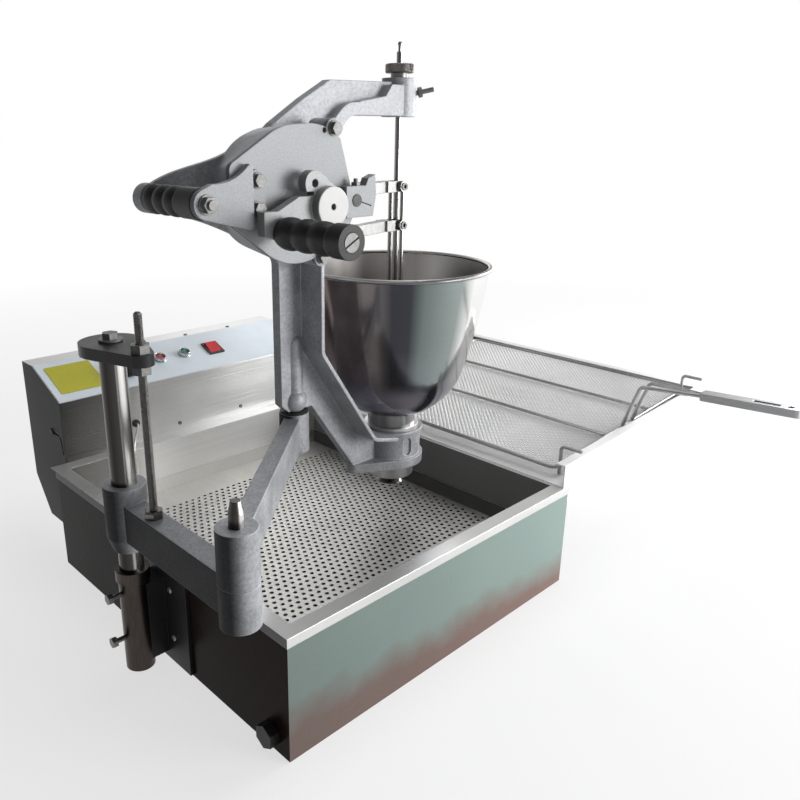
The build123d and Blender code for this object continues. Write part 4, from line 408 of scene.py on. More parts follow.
def punched_sheet(form, low, high, level):
    """A flat sheet of six-sided cells, each with a round hole, and a plain border filled in round them."""
    reach = punch_pitch / sqrt(3)
    row_step = punch_pitch * sqrt(3) / 2
    across = int((high.x - low.x - 2 * plain_side) / punch_pitch)
    rows = int((high.y - low.y - plain_side - plain_back) / row_step)
    start = Vector(((low.x + high.x - (across - 0.5) * punch_pitch) / 2, low.y + plain_side + reach, level))
    corners = {}

    def corner(x, y):
        key = (round(x * corner_grid), round(y * corner_grid))
        if key not in corners:
            corners[key] = form.verts.new((x, y, level))
        return corners[key]

    for row in range(rows):
        for column in range(across):
            centre = start + Vector(((column + 0.5 * (row % 2)) * punch_pitch, row * row_step, 0))
            outer = []
            inner = []
            for step in range(cell_points):
                angle = pi / 6 * step + pi / 6
                far = reach if step % 2 == 0 else reach * cos(pi / 6)
                outer.append(corner(centre.x + far * cos(angle), centre.y + far * sin(angle)))
                inner.append(form.verts.new((centre.x + punch_radius * cos(angle),
                                             centre.y + punch_radius * sin(angle), level)))
            for step in range(cell_points):
                after = step + 1 - cell_points
                form.faces.new((inner[step], outer[step], outer[after], inner[after]))
    ring = set(corners.values())
    zigzag = [edge for edge in form.edges if edge.is_boundary and ring.issuperset(edge.verts)]
    outline = ((low.x, low.y), (high.x, low.y), (high.x, high.y), (low.x, high.y))
    border_corners = [form.verts.new((x, y, level)) for x, y in outline]
    border = [form.edges.new((border_corners[n], border_corners[n - 3])) for n in range(4)]
    bmesh.ops.triangle_fill(form, edges=zigzag + border, use_beauty=True)
    return border


plate_form = bmesh.new()
plate_inset = Vector((plate_thick / 2, plate_thick / 2, 0))
plate_in_low = plate_low + plate_inset
plate_in_high = plate_high - plate_inset
for edge in punched_sheet(plate_form, plate_in_low, plate_in_high, plate_mid):
    first, second = edge.verts
    up = [plate_form.verts.new((v.co.x, v.co.y, plate_high.z)) for v in (first, second)]
    plate_form.faces.new((first, second, up[1], up[0]))
for x in (plate_in_low.x, plate_in_high.x - foot_wide):
    for y in (plate_in_low.y, plate_in_high.y):
        foot = ((x, plate_low.z), (x + foot_wide, plate_low.z), (x + foot_wide, plate_mid), (x, plate_mid))
        plate_form.faces.new([plate_form.verts.new((foot_x, y, z)) for foot_x, z in foot])
bmesh.ops.remove_doubles(plate_form, verts=plate_form.verts, dist=weld_reach)
bmesh.ops.recalc_face_normals(plate_form, faces=plate_form.faces)
# Faces that look to the left take painted shade.
plate_steel = metal_finish("plate_steel", light=(0.86, 0.85, 0.82), dark=(0.77, 0.76, 0.73),
                           rough=(0.45, 0.6), stretch=(500, 12, 500), cloud=7.0, bump=0.05, edge=0.0005,
                           left=0.12)
plate = made(plate_form, "punched_plate", plate_steel)
plate_body = plate.modifiers.new("sheet", "SOLIDIFY")
plate_body.thickness = plate_thick
plate_body.offset = 0
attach(plate, "fryer")
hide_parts("perforated_plate")

# Heating tubes and the thermostat's bulb. Steel tubes bent into long loops lie under the plate, and a thin
# tinned copper capillary runs from the control box down the back wall to its bulb.
heated_tube = metal_finish("heated_tube", light=(0.20, 0.19, 0.18), dark=(0.12, 0.10, 0.09),
                           rough=(0.35, 0.5), stretch=(300, 20, 300))
dress(heated_tube, "heating_element")
tinned_capillary = metal_finish("tinned_capillary", light=(0.74, 0.72, 0.68), dark=(0.62, 0.59, 0.54),
                                rough=(0.3, 0.45), stretch=(400, 400, 40))
dress(tinned_capillary, "thermostat_bulb")

# Control box. A folded stainless housing hangs on the back of the tank, with a pale film panel on its
# sloped front and a back held by screws. The switch, the thermostat's knob, the cable gland and the grommet
# are moulded plastic, and so are the cases of the thermostat and the contactor inside.
box_half = 0.23
box_front_from = -0.3
box_front_full = -0.6
# Faces that look to the left take painted shade.
box_steel = metal_finish("box_steel", light=(0.88, 0.88, 0.87), dark=(0.78, 0.78, 0.77), rough=(0.26, 0.4),
                         stretch=(3, 3, 700), cloud=4.0, bump=0.5, edge=0.0015, metallic=0.7, left=0.025)
box_tree, box_shade, box_grained = opened(box_steel)
box_at = place(box_tree, "ShaderNodeTexCoord").outputs
# Painted shade on the front faces, darker towards the left end.
box_painted_shade_along = ramp(box_tree, spread(box_tree, xyz_of(box_tree, box_at["Object"])["X"], -box_half, box_half),
                 (0.0, (0.085, 0.083, 0.079)), (0.16, (0.26, 0.26, 0.25)), (0.30, (1.0, 1.0, 1.0)))
box_front = spread(box_tree, xyz_of(box_tree, box_at["Normal"])["Y"], box_front_from, box_front_full)
box_tone = blended(box_tree, 1.0, box_grained, box_painted_shade_along, "MULTIPLY")
box_tree.links.new(blended(box_tree, box_front, box_grained, box_tone), box_shade.inputs["Base Color"])
dress(box_steel, "control_case", "control_back")


def coloured_finish(name, light, dark, rough=(0.35, 0.5), scale=60.0, bump=0.15, coat=0.0, rub=0.10,
                    gloss=0.5):
    """Paint, film or moulded plastic: two close tones in fine grain, with edges rubbed a little lighter."""
    rubbed = tuple(part + rub * (1 - part) for part in light)
    finish = metal_finish(name, light, dark, rough=rough, stretch=(scale, scale, scale), cloud=8.0,
                          bump=bump, edge=0.0006, edge_tone=rubbed, metallic=0.0)
    shade = finish.node_tree.nodes["Principled BSDF"]
    shade.inputs["Coat Weight"].default_value = coat
    shade.inputs["Specular IOR Level"].default_value = gloss
    return finish


panel_film = coloured_finish("panel_film", light=(0.84, 0.92, 0.98), dark=(0.80, 0.88, 0.95),
                             rough=(0.3, 0.42), scale=300, bump=0.03)
dress(panel_film, "control_panel")
red_plastic = coloured_finish("red_plastic", light=(0.78, 0.010, 0.022), dark=(0.62, 0.007, 0.015),
                              rough=(0.22, 0.32), coat=0.3)
dress(red_plastic, "switch_rocker")
black_plastic = coloured_finish("black_plastic", light=(0.022, 0.022, 0.024), dark=(0.014, 0.014, 0.015),
                                scale=900)
dress(black_plastic, "switch_body", "thermostat_knob", "cable_gland", "capillary_grommet")
device_plastic = coloured_finish("device_plastic", light=(0.46, 0.46, 0.43), dark=(0.40, 0.40, 0.38),
                                 scale=400)
dress(device_plastic, "thermostat_body", "contactor")
# Faces that look to the left take painted shade.
plated = metal_finish("plated_steel", light=(0.30, 0.30, 0.29), dark=(0.19, 0.19, 0.185),
                      rough=(0.44, 0.58), stretch=(250, 250, 250), cloud=60.0, bump=0.05, edge=0.0006,
                      metallic=0.6, left=0.5)
dress(plated, "case_screws")

# Box and bracket screws. Pan head screws of dull plated steel hold the box's top and the post's bracket
# plate. Each head is pressed with a rounded rim and a crossed recess.
screw_radius = 0.0034
screw_high = 0.0018
screw_sides = 20
screw_profile = ((1.0, 0.0), (1.0, 0.45), (0.86, 0.8), (0.62, 1.0))
cross_level = 0.98
cross_arm = 0.5
cross_web = 0.16
cross_floor = 0.3
box_top = 0.278
box_screw_x = (-0.130, 0.043, 0.130)
box_screw_y = 0.3745
bracket_face = -0.2520
bracket_screw_yz = ((-0.047, 0.102), (-0.049, 0.038))
bracket_screw_scale = 1.3


def skin(form, rings):
    """Faces between each ring of points and the next, where a ring may be one point over and over."""
    for one, two in zip(rings, rings[1:]):
        for k in range(len(one)):
            corners = list(dict.fromkeys((one[k - 1], one[k], two[k], two[k - 1])))
            if len(corners) > 2:
                form.faces.new(corners)


def screw_head(form, centre, out, scale):
    """A pan head with a rounded rim and a sunk recess of four arms, on a face with the given outward way."""
    side = out.orthogonal().normalized()
    over = out.cross(side)
    radius = scale * screw_radius
    high = scale * screw_high

    def spot(k, share, level):
        angle = 2 * pi * k / screw_sides
        round_way = cos(angle) * side + sin(angle) * over
        return form.verts.new(centre + level * high * out + share * radius * round_way)

    rings = [[spot(k, share, level) for k in range(screw_sides)] for share, level in screw_profile]
    reaches = [cross_web if k % (screw_sides // 4) else cross_arm for k in range(screw_sides)]
    rings.append([spot(k, reach, cross_level) for k, reach in enumerate(reaches)])
    rings.append([form.verts.new(centre + cross_floor * high * out)] * screw_sides)
    skin(form, rings)
    form.faces.new(rings[0][::-1])


screw_form = bmesh.new()
for x in box_screw_x:
    screw_head(screw_form, Vector((x, box_screw_y, box_top)), Vector((0, 0, 1)), 1.0)
for y, z in bracket_screw_yz:
    screw_head(screw_form, Vector((bracket_face, y, z)), Vector((-1, 0, 0)), bracket_screw_scale)
bmesh.ops.recalc_face_normals(screw_form, faces=screw_form.faces)
dull_plating = metal_finish("dull_plating", light=(0.34, 0.33, 0.32), dark=(0.24, 0.23, 0.22),
                            rough=(0.3, 0.45), stretch=(300, 300, 300), cloud=60.0, bump=0.05, edge=0.0004)
screws = made(screw_form, "plate_screws", dull_plating)
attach(screws, "fryer")

# Bare plate. A thin yellow film plate is glued on the left end of the panel. Its corners are cut round, the
# edge of its face has a small bevel, and the face is blank.
panel_run = 0.089
panel_rise = 0.037
panel_lean = atan2(panel_rise, panel_run)
panel_foot = Vector((0, 0.2792, 0.241))
panel_up = Vector((0, cos(panel_lean), sin(panel_lean)))
panel_out = Vector((0, -sin(panel_lean), cos(panel_lean)))
film_thick = 0.0008
bare_left = -0.215
bare_right = -0.144
bare_low = 0.017
bare_high = 0.083
bare_corner = 0.003
bare_thick = 0.0006
bare_bevel = 0.4 * bare_thick
bare_corner_steps = 4


def on_panel(x, up, out):
    """A point on the sloped panel's face."""
    return panel_foot + Vector((x, 0, 0)) + up * panel_up + (film_thick + out) * panel_out


def closed_skin(form, rings):
    """A skin over rings of points, with a face at each end."""
    skin(form, rings)
    form.faces.new(rings[0][::-1])
    form.faces.new(rings[-1])


bare_middles = [Vector((x, up)) for x, up in ((bare_right - bare_corner, bare_high - bare_corner),
                                              (bare_left + bare_corner, bare_high - bare_corner),
                                              (bare_left + bare_corner, bare_low + bare_corner),
                                              (bare_right - bare_corner, bare_low + bare_corner))]
bare_form = bmesh.new()
bare_rings = []
for out, less in ((0.0, 0.0), (bare_thick - bare_bevel, 0.0), (bare_thick, bare_bevel)):
    ring = []
    for turn, middle in enumerate(bare_middles):
        for step in range(bare_corner_steps + 1):
            angle = pi / 2 * (turn + step / bare_corner_steps)
            spot = middle + (bare_corner - less) * Vector((cos(angle), sin(angle)))
            ring.append(bare_form.verts.new(on_panel(spot.x, spot.y, out)))
    bare_rings.append(ring)
closed_skin(bare_form, bare_rings)
yellow_film = coloured_finish("yellow_film", light=(0.60, 0.57, 0.02), dark=(0.54, 0.51, 0.018), scale=300,
                              bump=0.04)
bare = made(bare_form, "bare_plate", yellow_film)
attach(bare, "fryer")

# Lamps. Two pilot lamps stand in holes in the panel, each a plated cup with a rolled lip and a moulded lens
# sunk in it, red and green, with rings on its face. The outlines are (radius, height) points.
lamp_up = 0.050
lamp_sides = 40
cup_outline = ((0.0070, 0.0), (0.0106, 0.0), (0.0106, 0.0010), (0.0095, 0.0018), (0.0092, 0.0052),
               (0.0089, 0.0062), (0.0083, 0.0066), (0.0077, 0.0062), (0.0072, 0.0050))
lens_outline = ((0.0, 0.0004), (0.0069, 0.0004), (0.0069, 0.0034), (0.0060, 0.0044), (0.0050, 0.0040),
                (0.0040, 0.0046), (0.0030, 0.0041), (0.0016, 0.0047), (0.0, 0.0047))


def turned_on_panel(form, x, outline):
    """A closed piece turned round a line square to the panel."""
    rings = []
    for radius, out in outline:
        if radius:
            angles = [2 * pi * k / lamp_sides for k in range(lamp_sides)]
            rings.append([form.verts.new(on_panel(x + radius * cos(a), lamp_up + radius * sin(a), out))
                          for a in angles])
        else:
            rings.append([form.verts.new(on_panel(x, lamp_up, out))] * lamp_sides)
    skin(form, rings + rings[:1])


def lamp_piece(name, places, outline, finish, node):
    """A turned piece at one or both lamps, in the place of a CAD node."""
    form = bmesh.new()
    for x in places:
        turned_on_panel(form, x, outline)
    bmesh.ops.recalc_face_normals(form, faces=form.faces)
    piece = made(form, name, finish)
    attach(piece, "fryer")
    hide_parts(node)


red_lamp_x, green_lamp_x = [sum(corner.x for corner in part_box(node)) / 2
                            for node in ("red_lens", "green_lens")]
lamp_plating = metal_finish("lamp_plating", light=(0.74, 0.75, 0.76), dark=(0.64, 0.65, 0.66),
                            rough=(0.12, 0.2), stretch=(300, 300, 300), cloud=60.0, bump=0.03, edge=0.0004)
lamp_red = coloured_finish("lamp_red", light=(0.52, 0.035, 0.030), dark=(0.42, 0.025, 0.022),
                           rough=(0.18, 0.28), coat=0.6)
lamp_green = coloured_finish("lamp_green", light=(0.012, 0.27, 0.17), dark=(0.010, 0.20, 0.12),
                             rough=(0.18, 0.28), coat=0.6)
lamp_piece("lamp_cups", (red_lamp_x, green_lamp_x), cup_outline, lamp_plating, "lamp_bezels")
lamp_piece("red_lamp_lens", (red_lamp_x,), lens_outline, lamp_red, "red_lens")
lamp_piece("green_lamp_lens", (green_lamp_x,), lens_outline, lamp_green, "green_lens")

# Drain tray. A stainless tray hooks over the tank's right rim and rises away from it, with turned rims and
# two gussets below. The inside of its far wall has painted shade.
# Painted shade for the inside of the far wall.
tray_wall_painted_shade = (0.16, 0.13, 0.125)
tray_steel = metal_finish("tray_steel", light=(0.95, 0.95, 0.95), dark=(0.88, 0.88, 0.88),
                          rough=(0.5, 0.62), stretch=(3, 500, 3), cloud=4.0, bump=0.05, edge=0.0012,
                          shadow=0.9)
tray_tree, tray_shade, tray_grained = opened(tray_steel)
tray_wall = place(tray_tree, "ShaderNodeGroup", node_tree=wall_group).outputs["Share"]
tray_tone = blended(tray_tree, tray_wall, tray_grained, tray_wall_painted_shade)
tray_tree.links.new(tray_tone, tray_shade.inputs["Base Color"])
dress(tray_steel, "drain_tray")

# Frying net. Bright wire is bent into a frame with hooks and a long handle, which ends in a flat steel
# grip, and a cloth of woven wire is welded into the frame.
net_wire = metal_finish("net_wire", light=(0.50, 0.50, 0.50), dark=(0.38, 0.38, 0.38), rough=(0.3, 0.42),
                        stretch=(120, 120, 120), bump=0.04, edge=0.0005)
dress(net_wire, "net_frame")
net_grip_steel = metal_finish("net_grip_steel", light=(0.48, 0.48, 0.49), dark=(0.40, 0.40, 0.41),
                              rough=(0.3, 0.42), stretch=(300, 30, 300))
dress(net_grip_steel, "net_grip")
cloth_low, cloth_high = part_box("net_mesh")
cloth_pitch = 0.0040
cloth_wire = 0.0007
cloth_sway = 0.7 * cloth_wire


def cloth_level(x):
    """Height of the sloped cloth at x."""
    share = (x - cloth_low.x) / (cloth_high.x - cloth_low.x)
    return cloth_low.z + cloth_wire + share * (cloth_high.z - cloth_low.z - 2 * cloth_wire)


def woven_wire(form, points):
    """A thin square wire through a row of points."""
    rings = []
    for n, point in enumerate(points):
        ahead = points[min(n + 1, len(points) - 1)] - points[max(n - 1, 0)]
        side = ahead.cross(Vector((0, 0, 1))).normalized()
        top = side.cross(ahead).normalized()
        rings.append([form.verts.new(point + cloth_wire * way) for way in (side, top, -side, -top)])
    skin(form, rings)


def wire_places(low, high):
    """Even places for wires from low to high."""
    count = round((high - low) / cloth_pitch)
    return [low + (high - low) * n / count for n in range(count + 1)]


cloth_form = bmesh.new()
cloth_x = wire_places(cloth_low.x, cloth_high.x)
cloth_y = wire_places(cloth_low.y, cloth_high.y)
for i, x in enumerate(cloth_x):
    woven_wire(cloth_form, [Vector((x, y, cloth_level(x) + cloth_sway * (-1) ** (i + j)))
                            for j, y in enumerate(cloth_y)])
for j, y in enumerate(cloth_y):
    woven_wire(cloth_form, [Vector((x, y, cloth_level(x) - cloth_sway * (-1) ** (i + j)))
                            for i, x in enumerate(cloth_x)])
cloth_steel = metal_finish("cloth_steel", light=(1.0, 1.0, 0.99), dark=(0.92, 0.92, 0.91), rough=(0.4, 0.5),
                           stretch=(120, 120, 120), bump=0.04, edge=0.0005, metallic=0.25)
cloth = made(cloth_form, "wire_cloth", cloth_steel)
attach(cloth, "net")
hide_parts("net_mesh")

# Post and its socket. A ground steel bar stands in a tube welded to a bracket plate on the case's left side,
# held by two set screws, with a black steel cap bolted on top. The arm's pins are of the same bar, and the
# bracket, the wrist's washer and the drain's cap are black steel as well.
front_right = (0.73, -0.68, 0.0)
# Mask that turns round an upright axis, from back left to front right, for painted shade, highlight and
# reflection.
turn_group, _, turn_out = effect_group("upright_turn", [], [("Turn", "NodeSocketFloat")])
turn_way = place(turn_group, "ShaderNodeTexCoord").outputs["Normal"]
turn_lean = vector_maths(turn_group, "DOT_PRODUCT", turn_way, front_right)
turn_group.links.new(spread(turn_group, turn_lean, -1.0, 1.0), turn_out["Turn"])


def painted_light_round(finish, *stops):
    """Painted shade and highlight round an upright bar, toned from its back left to its front right."""
    tree, shade, grained = opened(finish)
    turn = place(tree, "ShaderNodeGroup", node_tree=turn_group).outputs["Turn"]
    tint = ramp(tree, turn, *stops)
    tree.links.new(blended(tree, 1.0, grained, tint, "MULTIPLY"), shade.inputs["Base Color"])


bright_bar = metal_finish("bright_bar", light=(0.86, 0.85, 0.82), dark=(0.74, 0.73, 0.70),
                          rough=(0.18, 0.28), stretch=(900, 900, 14), cloud=10.0, edge=0.001)
# Painted shade and highlight: the post is dark round its back left and front, with a bright band towards its
# front right.
painted_light_round(bright_bar, (0.0, (0.12, 0.115, 0.11)), (0.35, (0.045, 0.042, 0.040)),
             (0.68, (0.085, 0.08, 0.078)), (0.80, (1.0, 1.0, 1.0)), (0.97, (1.0, 1.0, 1.0)),
             (1.0, (0.60, 0.60, 0.59)))
dress(bright_bar, "post", "elbow_pin", "wrist_pin")
dark_tube = metal_finish("dark_tube", light=(0.080, 0.066, 0.060), dark=(0.060, 0.049, 0.044),
                         rough=(0.28, 0.42), stretch=(300, 300, 60), cloud=14.0, bump=0.05, edge=0.001)
dress(dark_tube, "post_socket")
black_steel = coloured_finish("black_steel", light=(0.026, 0.026, 0.028), dark=(0.016, 0.016, 0.018),
                              rough=(0.3, 0.5), scale=400, rub=0.03, gloss=0.22)
dress(black_steel, "cap_plate", "socket_bracket", "wrist_washer", "drain_cap")
worn_plate = metal_finish("worn_plate", light=(0.24, 0.23, 0.22), dark=(0.15, 0.145, 0.14),
                          rough=(0.28, 0.42), stretch=(250, 250, 250), cloud=60.0, bump=0.06, edge=0.0006)
dress(worn_plate, "set_screws")
dress(plated, "cap_bolt", "rod_nuts")

# Height rod. A steel rod, threaded from end to end, stands in the lower arm under a locking nut, and passes
# through the cap between two nuts, which set the depositor's height.
rod_low, rod_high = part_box("height_rod")
rod_axis = (rod_low + rod_high) / 2
rod_radius = 0.0046
rod_bevel = 0.0025
thread_pitch = 0.0015
thread_depth = 0.0008
thread_sides = 16
thread_rows = 4
lock_nut_low = 0.222
lock_nut_high = 0.231
lock_nut_flats = 0.018
lock_nut_bevel = 0.12 * lock_nut_flats
lock_nut_top = 0.88


def round_spot(axis, radius, angle, height):
    """A point round an upright axis."""
    return axis.x + radius * cos(angle), axis.y + radius * sin(angle), height


def threaded_rod(form):
    """A rod whose surface climbs in a helix, with a bevelled upper end."""
    rod_long = rod_high.z - rod_low.z
    count = int(rod_long / thread_pitch * thread_rows)
    rings = []
    for row in range(count + 1):
        height = rod_low.z + rod_long * row / count
        ring = []
        for side in range(thread_sides):
            phase = (row / thread_rows - side / thread_sides) % 1.0
            radius = rod_radius - thread_depth * abs(2 * phase - 1)
            radius = min(radius, rod_radius - rod_bevel + (rod_high.z - height))
            angle = 2 * pi * side / thread_sides
            ring.append(form.verts.new(round_spot(rod_axis, radius, angle, height)))
        rings.append(ring)
    closed_skin(form, rings)


def lock_nut(form):
    """A six-sided nut on the rod with its upper corners turned off."""
    profile = ((lock_nut_low, 1.0), (lock_nut_high - lock_nut_bevel, 1.0), (lock_nut_high, lock_nut_top))
    rings = []
    for height, share in profile:
        reach = share * lock_nut_flats / sqrt(3)
        rings.append([form.verts.new(round_spot(rod_axis, reach, pi / 3 * k, height)) for k in range(6)])
    closed_skin(form, rings)


rod_form = bmesh.new()
threaded_rod(rod_form)
lock_nut(rod_form)
rod_steel = metal_finish("rod_steel", light=(0.21, 0.20, 0.19), dark=(0.13, 0.125, 0.12),
                         rough=(0.26, 0.38), stretch=(200, 200, 200), cloud=40.0, bump=0.03, edge=0.0004)
rod = made(rod_form, "threaded_rod", rod_steel)
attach(rod, "lower_arm")
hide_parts("height_rod")

# Arms. Two sand cast aluminium links carry the depositor: the lower one slides on the post and the upper
# one turns on the elbow's pin.
# Faces that look to the left take painted shade.
cast_arm = metal_finish("cast_arm", light=(0.50, 0.51, 0.53), dark=(0.32, 0.33, 0.35), rough=(0.42, 0.58),
                        stretch=(300, 300, 300), cloud=34.0, bump=0.6, edge=0.0022, metallic=0.35,
                        left=0.11, shadow=0.68)
dress(cast_arm, "lower_arm", "upper_arm")

# Depositor's casting. One sand cast aluminium C-frame is drum, column, leg and ring, with an arm over the
# hopper. It turns on the wrist's pin in a long boss on the column.
# Faces that look to the left take painted shade.
cast_frame = metal_finish("cast_frame", light=(0.53, 0.54, 0.56), dark=(0.34, 0.35, 0.37),
                          rough=(0.42, 0.58), stretch=(300, 300, 300), cloud=34.0, bump=0.6, edge=0.0022,
                          metallic=0.35, left=0.8, shadow=0.68)
dress(cast_frame, "frame_casting")

# Depositor's cover, bracket and crank. Flat pieces of milled aluminium are bolted on to close the drum and
# carry the grips, which are moulded from black rubber. The face of the crank's hub shows the rings of its
# turning.
# Faces that look to the left take painted shade.
milled = metal_finish("milled_aluminium", light=(0.40, 0.41, 0.42), dark=(0.32, 0.33, 0.34),
                      rough=(0.46, 0.58), stretch=(420, 420, 420), cloud=14.0, bump=0.14, edge=0.0015,
                      metallic=0.25, left=0.5)
dress(milled, "front_cover", "handle_bracket", "clamp_lever")
hub_axis = (-0.061, 0.0, 0.5328)
hub_face = -0.121
hub_face_deep = 0.0008
hub_ring = 0.0016
hub_ring_dark = (0.40, 0.40, 0.39)
hub_ring_light = (0.52, 0.52, 0.51)
across_hub = (1.0, 0.0, 1.0)
# Faces that look to the left take painted shade.
crank_aluminium = metal_finish("crank_aluminium", light=(0.44, 0.45, 0.45), dark=(0.36, 0.37, 0.37),
                               rough=(0.44, 0.56), stretch=(420, 420, 420), cloud=14.0, bump=0.12,
                               edge=0.0015, metallic=0.3, left=0.5)
crank_tree, crank_shade, crank_grained = opened(crank_aluminium)
crank_at = place(crank_tree, "ShaderNodeTexCoord").outputs["Object"]
crank_off = vector_maths(crank_tree, "SUBTRACT", crank_at, hub_axis)
crank_away = vector_maths(crank_tree, "LENGTH", vector_maths(crank_tree, "MULTIPLY", crank_off, across_hub))
crank_wave = maths(crank_tree, "SINE", maths(crank_tree, "MULTIPLY", crank_away, 2 * pi / hub_ring))
crank_rings = ramp(crank_tree, spread(crank_tree, crank_wave, -1.0, 1.0),
                   (0.0, hub_ring_dark), (1.0, hub_ring_light))
crank_front = spread(crank_tree, xyz_of(crank_tree, crank_at)["Y"], hub_face + hub_face_deep, hub_face)
crank_tone = blended(crank_tree, crank_front, crank_grained, crank_rings)
crank_tree.links.new(crank_tone, crank_shade.inputs["Base Color"])
dress(crank_aluminium, "crank_arm")
dress(plated, "cover_bolts", "grip_bolt", "grip_screw", "clamp_bolt", "lock_screw", "fork_pins")
black_rubber = coloured_finish("black_rubber", light=(0.012, 0.012, 0.013), dark=(0.007, 0.007, 0.008),
                               rough=(0.4, 0.55), scale=700, bump=0.2, gloss=0.35)
dress(black_rubber, "fixed_grip", "crank_grip")

# Hopper and dough cylinder. A bowl spun from stainless sheet, polished outside and satin inside, stands on
# a turned steel cylinder that is held in the casting's ring.
# Painted reflection underneath the bowl.
bowl_bottom_reflection = (0.44, 0.42, 0.50)
bowl_under_from = -0.22
bowl_under_full = -0.48
bowl_inside_from = -0.08
bowl_inside_full = 0.06
bowl_inside_rougher = 0.22
bowl_steel = metal_finish("polished_bowl", light=(0.94, 0.94, 0.93), dark=(0.88, 0.88, 0.87),
                          rough=(0.13, 0.20), stretch=(3, 3, 900), cloud=5.0, bump=0.012, edge=0.001)
bowl_tree, bowl_shade, bowl_grained = opened(bowl_steel)
# Painted reflection: outside, the bowl is dark where it faces front left and bright at the front right;
# inside, it has reflected streaks.
bowl_turn = place(bowl_tree, "ShaderNodeGroup", node_tree=turn_group).outputs["Turn"]
bowl_outside_reflection = ramp(bowl_tree, bowl_turn, (0.05, (0.20, 0.16, 0.16)), (0.20, (0.26, 0.21, 0.21)),
                    (0.38, (0.20, 0.185, 0.19)), (0.46, (0.06, 0.06, 0.072)), (0.55, (0.062, 0.065, 0.075)),
                    (0.62, (0.20, 0.24, 0.235)), (0.80, (0.36, 0.41, 0.40)), (0.88, (1.0, 1.0, 1.0)))
bowl_inside_reflection = ramp(bowl_tree, bowl_turn, (0.05, (0.40, 0.39, 0.38)), (0.14, (0.72, 0.70, 0.69)),
                    (0.24, (0.85, 0.83, 0.82)), (0.34, (0.55, 0.53, 0.52)), (0.44, (0.62, 0.60, 0.59)),
                    (0.56, (0.48, 0.46, 0.45)), (0.66, (0.22, 0.205, 0.20)), (0.78, (0.16, 0.15, 0.145)),
                    (0.90, (0.38, 0.37, 0.36)))
bowl_up = xyz_of(bowl_tree, place(bowl_tree, "ShaderNodeTexCoord").outputs["Normal"])["Z"]
bowl_under = spread(bowl_tree, bowl_up, bowl_under_from, bowl_under_full)
bowl_inside = spread(bowl_tree, bowl_up, bowl_inside_from, bowl_inside_full)
bowl_painted_reflection = blended(bowl_tree, bowl_under, bowl_outside_reflection, bowl_bottom_reflection)
bowl_painted_reflection = blended(bowl_tree, bowl_inside, bowl_painted_reflection, bowl_inside_reflection)
bowl_tone = blended(bowl_tree, 1.0, bowl_grained, bowl_painted_reflection, "MULTIPLY")
bowl_tree.links.new(bowl_tone, bowl_shade.inputs["Base Color"])
bowl_rough = bowl_shade.inputs["Roughness"].links[0].from_socket
bowl_satin = maths(bowl_tree, "MULTIPLY_ADD", bowl_inside, bowl_inside_rougher, bowl_rough)
bowl_tree.links.new(bowl_satin, bowl_shade.inputs["Roughness"])
dress(bowl_steel, "hopper_bowl")
turned_cylinder = metal_finish("turned_cylinder", light=(0.74, 0.74, 0.73), dark=(0.64, 0.64, 0.63),
                               rough=(0.3, 0.42), stretch=(3, 3, 900), bump=0.05, edge=0.001)
dress(turned_cylinder, "dough_cylinder")

# Forks and plunger. Two bright steel forks on a dull shaft and a ground pin drive the plunger, a pair of
# ground rods with a sleeve. The centre rod runs down between them, ground from the same bar.
bright_fork = metal_finish("bright_fork", light=(0.40, 0.40, 0.395), dark=(0.31, 0.31, 0.305),
                           rough=(0.42, 0.55), stretch=(200, 200, 200), cloud=30.0, bump=0.05, edge=0.001)
dress(bright_fork, "upper_fork", "lower_fork")
# Faces that look to the left take painted shade.
dull_shaft = metal_finish("dull_shaft", light=(0.15, 0.15, 0.15), dark=(0.10, 0.10, 0.10),
                          rough=(0.5, 0.62), stretch=(250, 250, 250), cloud=60.0, bump=0.05, edge=0.0006,
                          metallic=0.3, left=0.5)
dress(dull_shaft, "rocker_shaft")
ground_rod = metal_finish("ground_rod", light=(0.80, 0.79, 0.77), dark=(0.68, 0.67, 0.65), rough=(0.2, 0.3),
                          stretch=(900, 900, 14), cloud=10.0, bump=0.06, edge=0.0006)
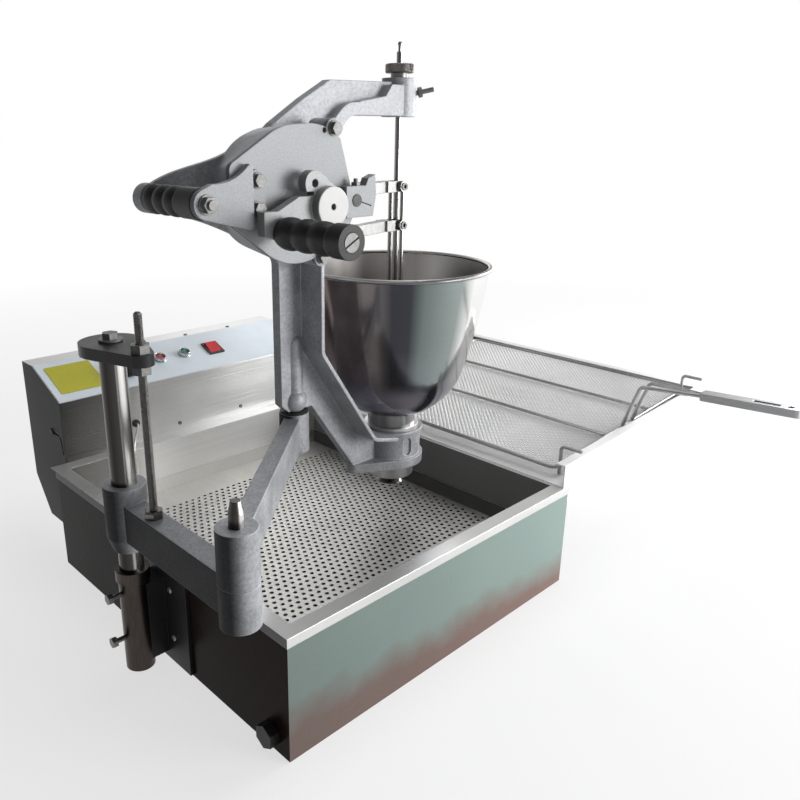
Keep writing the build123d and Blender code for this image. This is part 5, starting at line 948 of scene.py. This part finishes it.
# Painted shade and highlight round the rods, with a bright band towards their front right.
painted_light_round(ground_rod, (0.0, (0.50, 0.49, 0.48)), (0.30, (0.34, 0.33, 0.32)), (0.46, (0.13, 0.12, 0.12)),
             (0.62, (0.36, 0.35, 0.34)), (0.84, (0.95, 0.95, 0.95)), (1.0, (0.5, 0.5, 0.5)))
dress(ground_rod, "lower_pivot", "plunger_rods", "plunger_sleeve", "centre_rod")

# Dose nut. A nut turned from steel bar stands on the casting's head and sets the height of the centre rod.
# It has a plain neck, and a rim with bevelled edges and crossed knurls.
nut_low, nut_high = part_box("knurled_nut")
nut_axis = (nut_low + nut_high) / 2
nut_rim = 0.018
nut_rim_low = 0.681
nut_rim_bevel = 0.0014
nut_neck = 0.011
nut_bore = 0.00405
nut_bore_bevel = 0.001
knurl_count = 54
knurl_rows = 9
knurl_depth = 0.0007
knurl_margin = 0.10


def knurled_nut(form):
    """A nut turned from the bar: neck, bevelled rim with crossed knurls, bevelled top and bore."""
    span = nut_high.z - nut_rim_low
    outline = [(nut_bore, nut_low.z, 0), (nut_neck, nut_low.z, 0), (nut_neck, nut_rim_low, 0),
               (nut_rim - nut_rim_bevel, nut_rim_low, 0)]
    for row in range(knurl_rows):
        share = knurl_margin + (1 - 2 * knurl_margin) * row / (knurl_rows - 1)
        outline.append((nut_rim, nut_rim_low + span * share, 1 + row % 2))
    outline += [(nut_rim - nut_rim_bevel, nut_high.z, 0), (nut_bore + nut_bore_bevel, nut_high.z, 0),
                (nut_bore, nut_high.z - nut_bore_bevel, 0)]
    rings = []
    for radius, height, knurl in outline:
        ring = []
        for k in range(2 * knurl_count):
            angle = pi * k / knurl_count
            sunk = radius - knurl_depth if knurl and (k + knurl) % 2 else radius
            ring.append(form.verts.new(round_spot(nut_axis, sunk, angle, height)))
        rings.append(ring)
    skin(form, rings + rings[:1])


nut_form = bmesh.new()
knurled_nut(nut_form)
bmesh.ops.recalc_face_normals(nut_form, faces=nut_form.faces)
nut = made(nut_form, "dose_nut_knurl", worn_plate)
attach(nut, "dose_nut")
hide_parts("knurled_nut")
